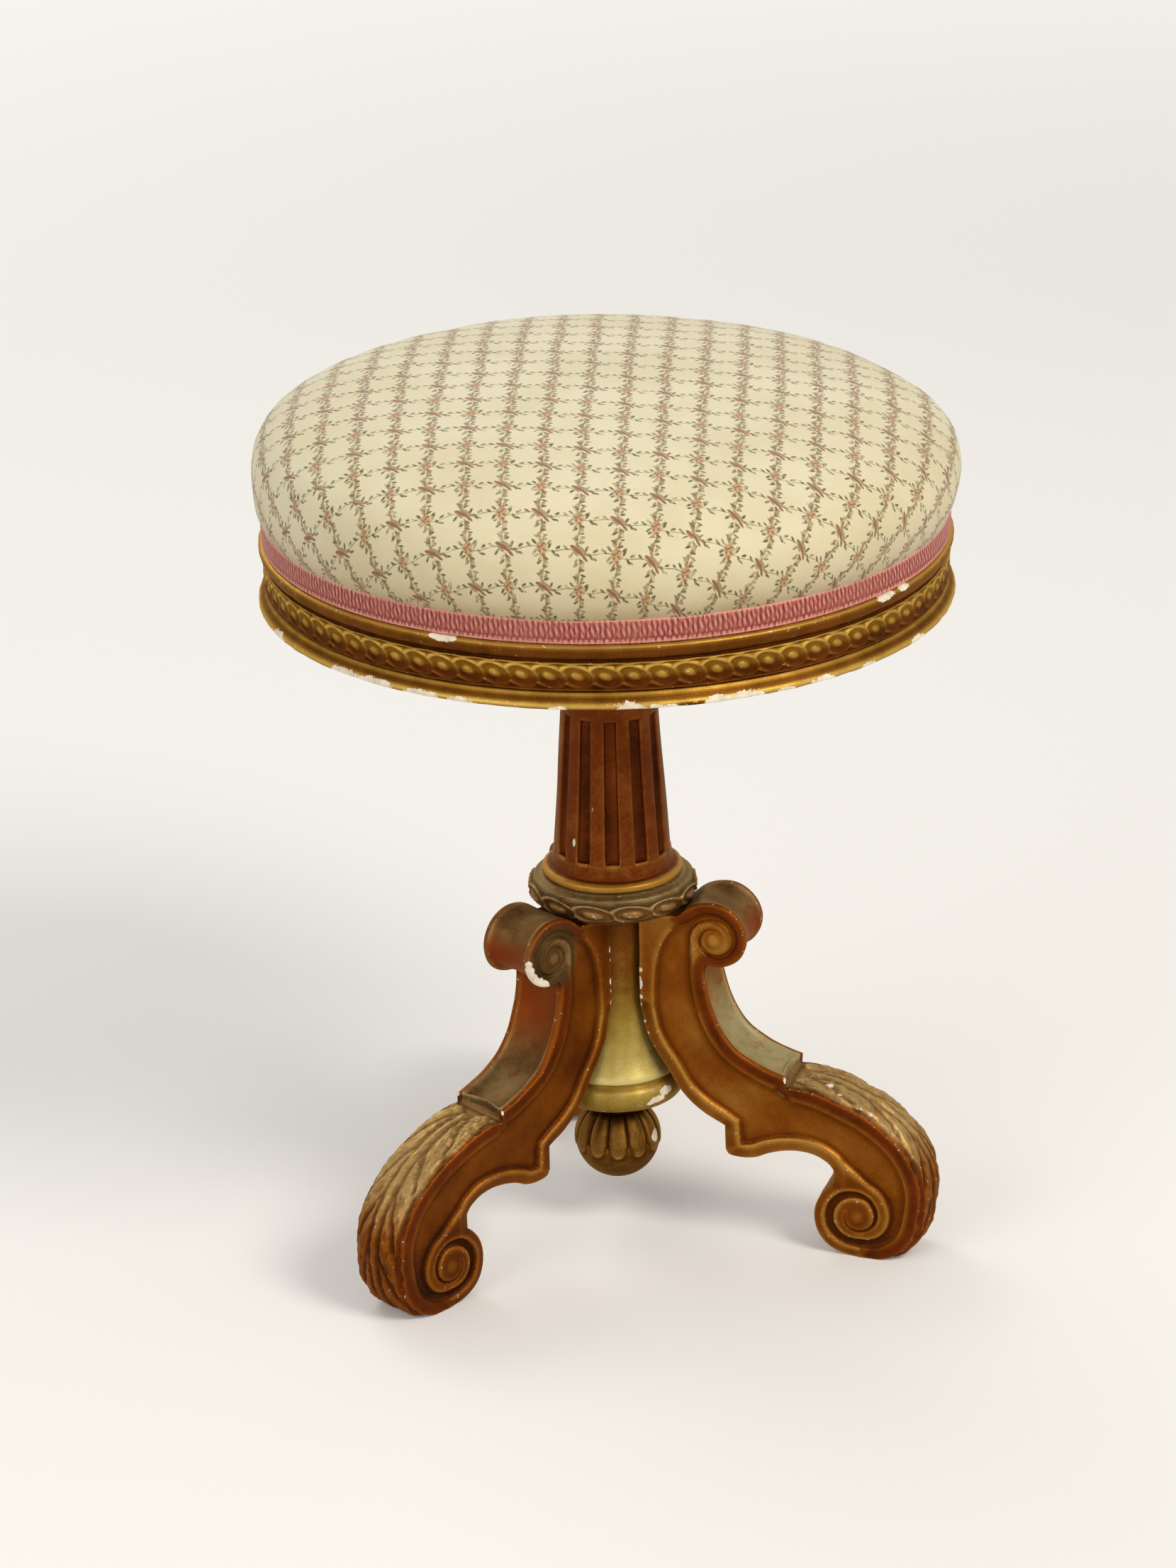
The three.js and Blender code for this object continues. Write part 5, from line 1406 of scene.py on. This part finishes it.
strip_corners = strip.reshape(-1, 3)
strip_faces = grid_faces(strip.shape[0], strip.shape[1], wrap_rows=True)[:, ::-1]
side_y = LEG_HALF - side_depth
near_side = np.stack([side_places[:, 0], -side_y, side_places[:, 1]], axis=-1)
far_side = np.stack([side_places[:, 0], side_y, side_places[:, 1]], axis=-1)
leg_corners = np.concatenate([strip_corners, near_side, far_side])
near_faces = side_triangles + len(strip_corners)
far_faces = side_triangles[:, ::-1] + len(strip_corners) + len(near_side)
too_near = np.hypot(leg_corners[:, 0], leg_corners[:, 1]) < HUB_SPACE
coped = np.sqrt(np.clip(HUB_SPACE ** 2 - leg_corners[:, 1] ** 2, 0, None))
leg_corners[:, 0] = np.where(too_near, coped, leg_corners[:, 0])


# %% Colours of a leg
KNEE_TOP, KNEE_FOOT, KNEE_REACH = 112.0, 102.5, 105.2  # the leaf starts below these, and outside
SIDE_FACE = LEG_HALF - 3.2      # a place further across than this is on the side
FRONT_FACE = 6.5                # a place nearer than this to the front's outline is on the front
LEAF_HALF = 17.5
SCROLL_TOP = 180.0


def leg_colours(places, warmth):
    """How red, green, light and calm the gilding is at each place of a leg that isn't turned yet:
    a sum of shares of its border, panel, gutter, leaf and scrolls, each fading with the height.
    Warmth is above 0 for a leg that is redder and paler at the knee, and below 0 for one that is
    greener at the head."""
    flat = places[:, [0, 2]]
    out, up = flat.T
    to_front, to_panel = line_distance(flat, front_line), line_distance(flat, closed_panel)
    on_side, on_front = np.abs(places[:, 1]) > SIDE_FACE, to_front < FRONT_FACE
    upper = (up > KNEE_TOP) | (up > KNEE_FOOT) & (out < KNEE_REACH)
    border = on_side * (1 - ease(to_front, 4.0, 8.5))
    top_of_scroll = on_front & ~on_side & (up > SCROLL_TOP)
    gutter_floor = on_front & ~on_side & upper
    leaf_face = on_front & (np.abs(places[:, 1]) < LEAF_HALF) & ~upper
    panel_face = on_side * (1 - border)
    paler, greener = max(warmth, 0), max(-warmth, 0)
    near_knee = 1 - ease(up, 108 + 120 * paler, 145 + 300 * paler)
    low_on_scroll = top_of_scroll * (1 - ease(up, 184, 200))
    near_head = on_side * (1 - ease(np.linalg.norm(flat - HEAD_EYE, axis=1), 16, 22))
    near_foot = on_side * (1 - ease(np.linalg.norm(flat - FOOT_EYE, axis=1), 20, 30))
    beside_panel = np.exp(-(to_panel / 2.2) ** 2)
    red = 0.52 * border + (0.05 + 0.3 * warmth) * panel_face + 0.8 * gutter_floor * (1 - 0.9 * near_knee)
    red = red - 0.45 * top_of_scroll + 1.3 * low_on_scroll - 0.14
    red = red + 0.32 * leaf_face * (1 - ease(up, 30, 66))
    red = red - 0.4 * leaf_face * ease(up, 40, 70)
    green = 0.6 * (top_of_scroll - low_on_scroll) + (0.7 + 3 * paler) * gutter_floor * near_knee
    green = green + 0.5 * leaf_face * ease(up, 45, 80)
    green = green + greener * 7 * near_head
    tone = 0.34 * leaf_face * ease(up, 45, 80) - 0.24 * border - 0.16 * leaf_face
    tone = tone + 0.08 * panel_face * ripple(places, 38, seed=31) - 0.1 * top_of_scroll
    tone = tone + (0.1 + 2 * warmth) * gutter_floor * near_knee + 0.8 * warmth * panel_face
    tone = tone - (0.04 - warmth) * near_head - 0.12 * near_foot
    calm = 0.85 * beside_panel * (to_front < BORDER + 3) * on_side + 0.2 * leaf_face
    calm = calm + 0.45 * beside_panel * (up > 140) * on_side
    return {"red": red, "green": green, "tone": tone, "calm": calm}


# %% Chips of the legs
def chips_at(*places):
    """Chips, each from its x, y, z and reach, and how tall it is if that is another number."""
    return [(np.array([x, y, z]), np.array([reach, reach, (tall or [reach])[0]]))
            for x, y, z, reach, *tall in places]


def edge_chips(y, reach, places):
    """A row of chips down the edge of a leg's inner end, each from its x, its z and how tall."""
    return chips_at(*[(x, y, z, reach, tall) for x, z, tall in places])


left_edge = [(20, 177, 3.4), (20, 171, 2.0), (20, 158, 3.0), (20, 152, 1.8), (20, 145, 3.2), (21, 138, 2)]
right_edge = [(20, 163, 2.4), (20, 155, 5.6), (20, 146.5, 2), (20.2, 140, 4.6), (22, 131, 2.4),
              (24, 124, 2.8), (27, 116, 2.0)]
left_chips = edge_chips(19, 2.1, left_edge) + chips_at(
    (81.4, 18.5, 186, 3.6), (81.0, 18.5, 181.5, 5.2), (78.8, 18.5, 176.6, 6.0), (74.8, 18.5, 172.4, 6.8),
    (70, 18.5, 169.6, 5.4), (104.6, 18.5, 104.4, 2.4), (104.6, -18.5, 104.4, 2.6), (150, -18.5, 87, 2.6),
    (168, -18.3, 71, 2.6), (172, -17.0, 62, 2.2), (181, -15, 38, 2.6), (140, 18.7, 95, 1.5),
    (158, 18.7, 84, 1.4))
right_chips = edge_chips(-19, 2.9, right_edge) + chips_at(
    (104.6, -18.5, 104.4, 3.0), (146, -17.8, 90.4, 5.2, 1.9), (153, -17.0, 88.0, 5.0, 1.9),
    (122, -18.8, 18, 1.3), (126, -6, 98.6, 5.0, 1.6), (133, -9.5, 95.4, 4.2, 1.5))
back_chips = edge_chips(19, 2.6, left_edge[::2]) + chips_at(
    (160, 12, 84, 3.0), (104.6, 18.5, 104.4, 3.0), (181, 4, 36, 3.4), (78, -18.6, 195, 3.6),
    (120, -18.6, 14, 2.4), (92, 18.6, 52, 3.0))

# %% The three legs
for number, direction, chips, warmth in [
        (1, 90, back_chips, 0.0), (2, 210, left_chips, -0.08), (3, 330, right_chips, 0.1)]:
    leg = new_piece(f"scroll_leg_{number}", leg_corners, [strip_faces, near_faces, far_faces])
    work = bmesh.new()
    work.from_mesh(leg.data)
    bmesh.ops.remove_doubles(work, verts=work.verts, dist=2e-6)
    print("open edges:", sum(not edge.is_manifold for edge in work.edges))
    work.to_mesh(leg.data)
    work.free()
    mark_wear(leg, chips, rounds=22, **leg_colours(corners_of(leg), warmth))
    leg.data.transform(Matrix.Rotation(math.radians(direction), 4, "Z"))
    settle(leg, "base", "brown_gilding", leg_gilding, f"leg_{number}")

# %% [markdown]
# ## Wood, iron, steel, brass and leather
#
# The seat board, the dowels, the stop collar and its pin keep the shapes of their solids. They
# and the rest of the mechanism need finishes that hold up from below, and when the seat is wound
# up.

# %% Plain finishes
def plain_metal(name, dark, light, rust, metal, smoothness, grain=3.0):
    """Worked metal: patches from dark to light, a share of rust in them, and fine pits."""
    finish, tree, shader, coordinates = new_finish(name)
    patch = noise(tree, coordinates, 14, detail=5)
    pits = noise(tree, coordinates, grain, detail=4)
    level = scaled(tree, patch, 0.7, scaled(tree, pits, 0.5, -0.1), clamp=True)
    colour = ramp(tree, level, (0.25, dark), (0.75, light))
    rusty = between(tree, times(tree, patch, pits), 0.2, 0.38, 0.0, rust)
    colour = mixed(tree, rusty, colour, tint("#5a2f17"))
    roughness = scaled(tree, level, -0.3, smoothness)
    shine = scaled(tree, rusty, -metal, metal)
    wire(tree, shader, Base_Color=colour, Metallic=shine, Roughness=roughness,
         Normal=bump(tree, pits, 0.3, 0.25))
    return finish


cast_iron = plain_metal("cast iron", "#15130f", "#3a332b", 0.7, 0.75, 0.75, grain=1.6)
steel = plain_metal("screw steel", "#3f3d39", "#8d8880", 0.45, 0.95, 0.55)
brass = plain_metal("nut brass", "#5c431c", "#a98542", 0.15, 0.95, 0.55)

# %% Wood and leather
beech, tree, shader, coordinates = new_finish("beech")
grain = noise(tree, coordinates, 3.2, detail=5, stretch=(26, 1, 1))
ring_band = noise(tree, coordinates, 17, detail=3, stretch=(14, 1, 1))
ray = noise(tree, coordinates, 0.9, detail=2, stretch=(5, 1, 1))
level = scaled(tree, grain, 0.6, times(tree, ring_band, 0.5), clamp=True)
colour = ramp(tree, level, (0.3, "#6a4526"), (0.55, "#99693c"), (0.8, "#b98a57"))
colour = mixed(tree, between(tree, ray, 0.6, 0.7, 0.0, 0.35), colour, tint("#5a381d"))
wire(tree, shader, Base_Color=colour, Roughness=0.62, Normal=bump(tree, grain, 0.3, 0.2))

leather, tree, shader, coordinates = new_finish("washer leather")
hide = noise(tree, coordinates, 2.0, detail=5)
stain = noise(tree, coordinates, 9, detail=3)
colour = ramp(tree, scaled(tree, stain, 0.6, times(tree, hide, 0.4)), (0.3, "#2c170b"), (0.7, "#6b4023"))
wire(tree, shader, Base_Color=colour, Roughness=0.6, Normal=bump(tree, hide, 0.5, 0.3))

leg_dowels = [(f"leg_dowel_{leg}_{dowel}", beech) for leg in (1, 2, 3) for dowel in (1, 2)]
for node, finish in [("seat_board", beech), ("finial_dowel", beech), ("stop_collar", steel),
                     ("stop_pin", steel)] + leg_dowels:
    mesh = nodes[node].data
    mesh.materials.clear()
    mesh.materials.append(finish)
print("plain finishes: 5")

# %% [markdown]
# ## The screw mechanism
#
# The lift screw's thread is a helix: the height less eight millimetres for each turn of the angle
# gives the place within the thread, and that gives its depth. The heads of the small screws are
# turned domes with a slot pressed in. The plate, its pin, the washer and the nut are the frame's
# own forms with their edges rounded.

# %% Lift screw
THREAD_PITCH = 8.0
THREAD_DEPTH = 1.9
SCREW_RADIUS = 11.0
THREAD_FOOT, THREAD_TOP = 241.1, 371.0
BOSS_FOOT, PLATE_TOP = 379.4, 397.7


def thread_relief(angle, along, radius, height):
    """Flat crests and roots with steep flanks between, fading out at both ends."""
    phase = (height / THREAD_PITCH - angle / (2 * math.pi)) % 1
    off_root = np.abs(phase - 0.5)
    root = 1 - ease(off_root, 0.17, 0.27)
    ends = ease(height, THREAD_FOOT, THREAD_FOOT + 4) * (1 - ease(height, THREAD_TOP - 5, THREAD_TOP))
    return -THREAD_DEPTH * root * ends * (radius > 9)


screw_line = np.concatenate([
    straight([[0, 233.8], [8.0, 233.8]], 3), straight([[8.4, 234.2], [8.4, 241.0]], 3),
    straight([[9.0, 241.1], [10.4, 241.1], [11.0, 241.7]], 0.6),
    straight([[SCREW_RADIUS, 242.1], [SCREW_RADIUS, THREAD_TOP]], 0.42),
    straight([[SCREW_RADIUS, 372], [SCREW_RADIUS, BOSS_FOOT - 0.4]], 3),
    straight([[SCREW_RADIUS - 0.4, BOSS_FOOT], [8.5, BOSS_FOOT], [8.5, PLATE_TOP], [0, PLATE_TOP]], 3)])
lift_screw = turned("threaded_screw", screw_line, circle(72), thread_relief)
settle(lift_screw, "seat", "steel", steel, "lift_screw")


# %% Rounded edges
def rounded_copy(name, node, width):
    """A solid of the frame with its sharp edges rounded by a width in millimetres."""
    copy = placed(name, nodes[node].data.copy())
    bevel = copy.modifiers.new("rounded", "BEVEL")
    bevel.width = width * MM
    bevel.segments = 3
    bevel.limit_method = "ANGLE"
    bevel.angle_limit = math.radians(32)
    keep_modifiers(copy)
    shade_smooth(copy.data)
    copy.data.set_sharp_from_angle(angle=math.radians(40))
    return copy


for name, node, width, body, slot, finish in [
        ("cast_plate", "seat_plate", 1.1, "seat", "iron", cast_iron),
        ("plate_cross_pin", "plate_pin", 0.8, "seat", "steel", steel),
        ("leather_washer", "thrust_washer", 0.7, "lift", "washer_leather", leather),
        ("brass_nut", "column_nut", 0.5, "base", "nut_brass", brass)]:
    settle(rounded_copy(name, node, width), body, slot, finish, node)

# %% Slotted screws
SCREW_HEAD, HEAD_HEIGHT, SHANK_RADIUS, SCREW_LENGTH = 4.0, 2.6, 2.0, 24.0
SLOT_DEPTH = 0.85


def slotted_screw(name, node, body, x, y, face, up, scale, slot_turn):
    """A screw whose face looks up or down at a height: a low dome with a slot, and its shank."""
    dome = [[SCREW_HEAD * s, 0.45 * s ** 2] for s in np.linspace(0, 0.94, 22)]
    shank = [[SCREW_HEAD, 0.9], [SCREW_HEAD, HEAD_HEIGHT - 0.2], [SCREW_HEAD - 0.2, HEAD_HEIGHT],
             [SHANK_RADIUS, HEAD_HEIGHT], [SHANK_RADIUS, SCREW_LENGTH], [0, SCREW_LENGTH]]

    def slot_relief(angle, along, radius, height):
        across = np.abs(radius * np.sin(angle - slot_turn))
        return -SLOT_DEPTH * (1 - ease(across, 0.35, 0.62)) * (height < 0.85) * (radius > 0)

    screw = turned(name, np.concatenate([dome, shank]), circle(64), slot_relief)
    flip = Matrix.Rotation(math.pi, 4, "X") if up else Matrix.Identity(4)
    screw.data.transform(Matrix.Translation((x * MM, y * MM, face * MM)) @ flip @ Matrix.Scale(scale, 4))
    settle(screw, body, "steel", steel, node)


for kind, count, around_radius, start, face, up, scale, body in [
        ("rail", 4, RAIL_SCREW_RADIUS, 45, 383.1, False, 1.0, "seat"),
        ("plate", 4, 61.0, 0, 388.8, False, 1.0, "seat"),
        ("nut", 3, 19.8, 30, 374.8, True, 0.72, "base")]:
    for number in range(count):
        turn_to = math.radians(start + 360 / count * number)
        slotted_screw(f"slotted_{kind}_{number + 1}", f"{kind}_screw_{number + 1}", body,
                      around_radius * math.cos(turn_to), around_radius * math.sin(turn_to), face, up,
                      scale, 0.7 + 1.1 * number)

# %% [markdown]
# ## Floor and light
#
# A pale floor that looks white to the camera and still takes the stool's shadow, and three large
# soft lamps: the key from the front and right above, a fill from the left, and one behind. Far
# out, the floor glows a little to the camera, so that its edge doesn't show.

# %% Floor and world
floor_mesh = bpy.data.meshes.new("floor")
floor_mesh.from_pydata([(-20, -20, 0), (20, -20, 0), (20, 20, 0), (-20, 20, 0)], [], [(0, 1, 2, 3)])
floor = placed("floor", floor_mesh)
pale, tree, shader, coordinates = new_finish("pale floor")
seen_directly = put(tree, "ShaderNodeLightPath")
from_stool = vectors(tree, "LENGTH", coordinates, out=1)
glow = between(tree, from_stool, 1.7, 4.2, 0.09, 0.44)
wire(tree, shader, Base_Color=tint("#efece6"), Roughness=0.8, Emission_Color=tint("#fffdf8"),
     Emission_Strength=times(tree, seen_directly, glow))
floor_mesh.materials.append(pale)

LIGHT_ON_STOOL, SEEN_BEHIND = (0.5, 0.5, 0.5, 1), (0.93, 0.93, 0.92, 1)

world = bpy.data.worlds.new("studio")
bpy.context.scene.world = world
world.use_nodes = True
tree = world.node_tree
background = tree.nodes["Background"]
light_path = put(tree, "ShaderNodeLightPath")
seen = light_path
for ray in ("Is Glossy Ray", "Is Transmission Ray"):
    seen = maths(tree, "MAXIMUM", seen, light_path.node.outputs[ray])
tree.links.new(mixed(tree, seen, LIGHT_ON_STOOL, SEEN_BEHIND), background.inputs["Color"])
background.inputs["Strength"].default_value = 1.0

# %% Lamps
for name, at, size, power, warmth in [
        ("key", (1.5, -2.2, 2.7), 1.4, 66, (1.0, 0.97, 0.92)),
        ("fill", (-2.4, -1.6, 1.6), 2.0, 20, (0.95, 0.97, 1.0)),
        ("back", (-0.8, 2.4, 2.4), 1.6, 20, (1.0, 1.0, 1.0))]:
    lamp_data = bpy.data.lights.new(name, "AREA")
    lamp_data.shape = "DISK"
    lamp_data.size = size
    lamp_data.energy = power
    lamp_data.color = warmth
    lamp = placed(name, lamp_data)
    toward = Vector((0, 0, 0.3)) - Vector(at)
    lamp.matrix_world = Matrix.Translation(at) @ toward.to_track_quat("-Z", "Y").to_matrix().to_4x4()

# %% Colour transform
bpy.context.scene.view_settings.view_transform = "Standard"
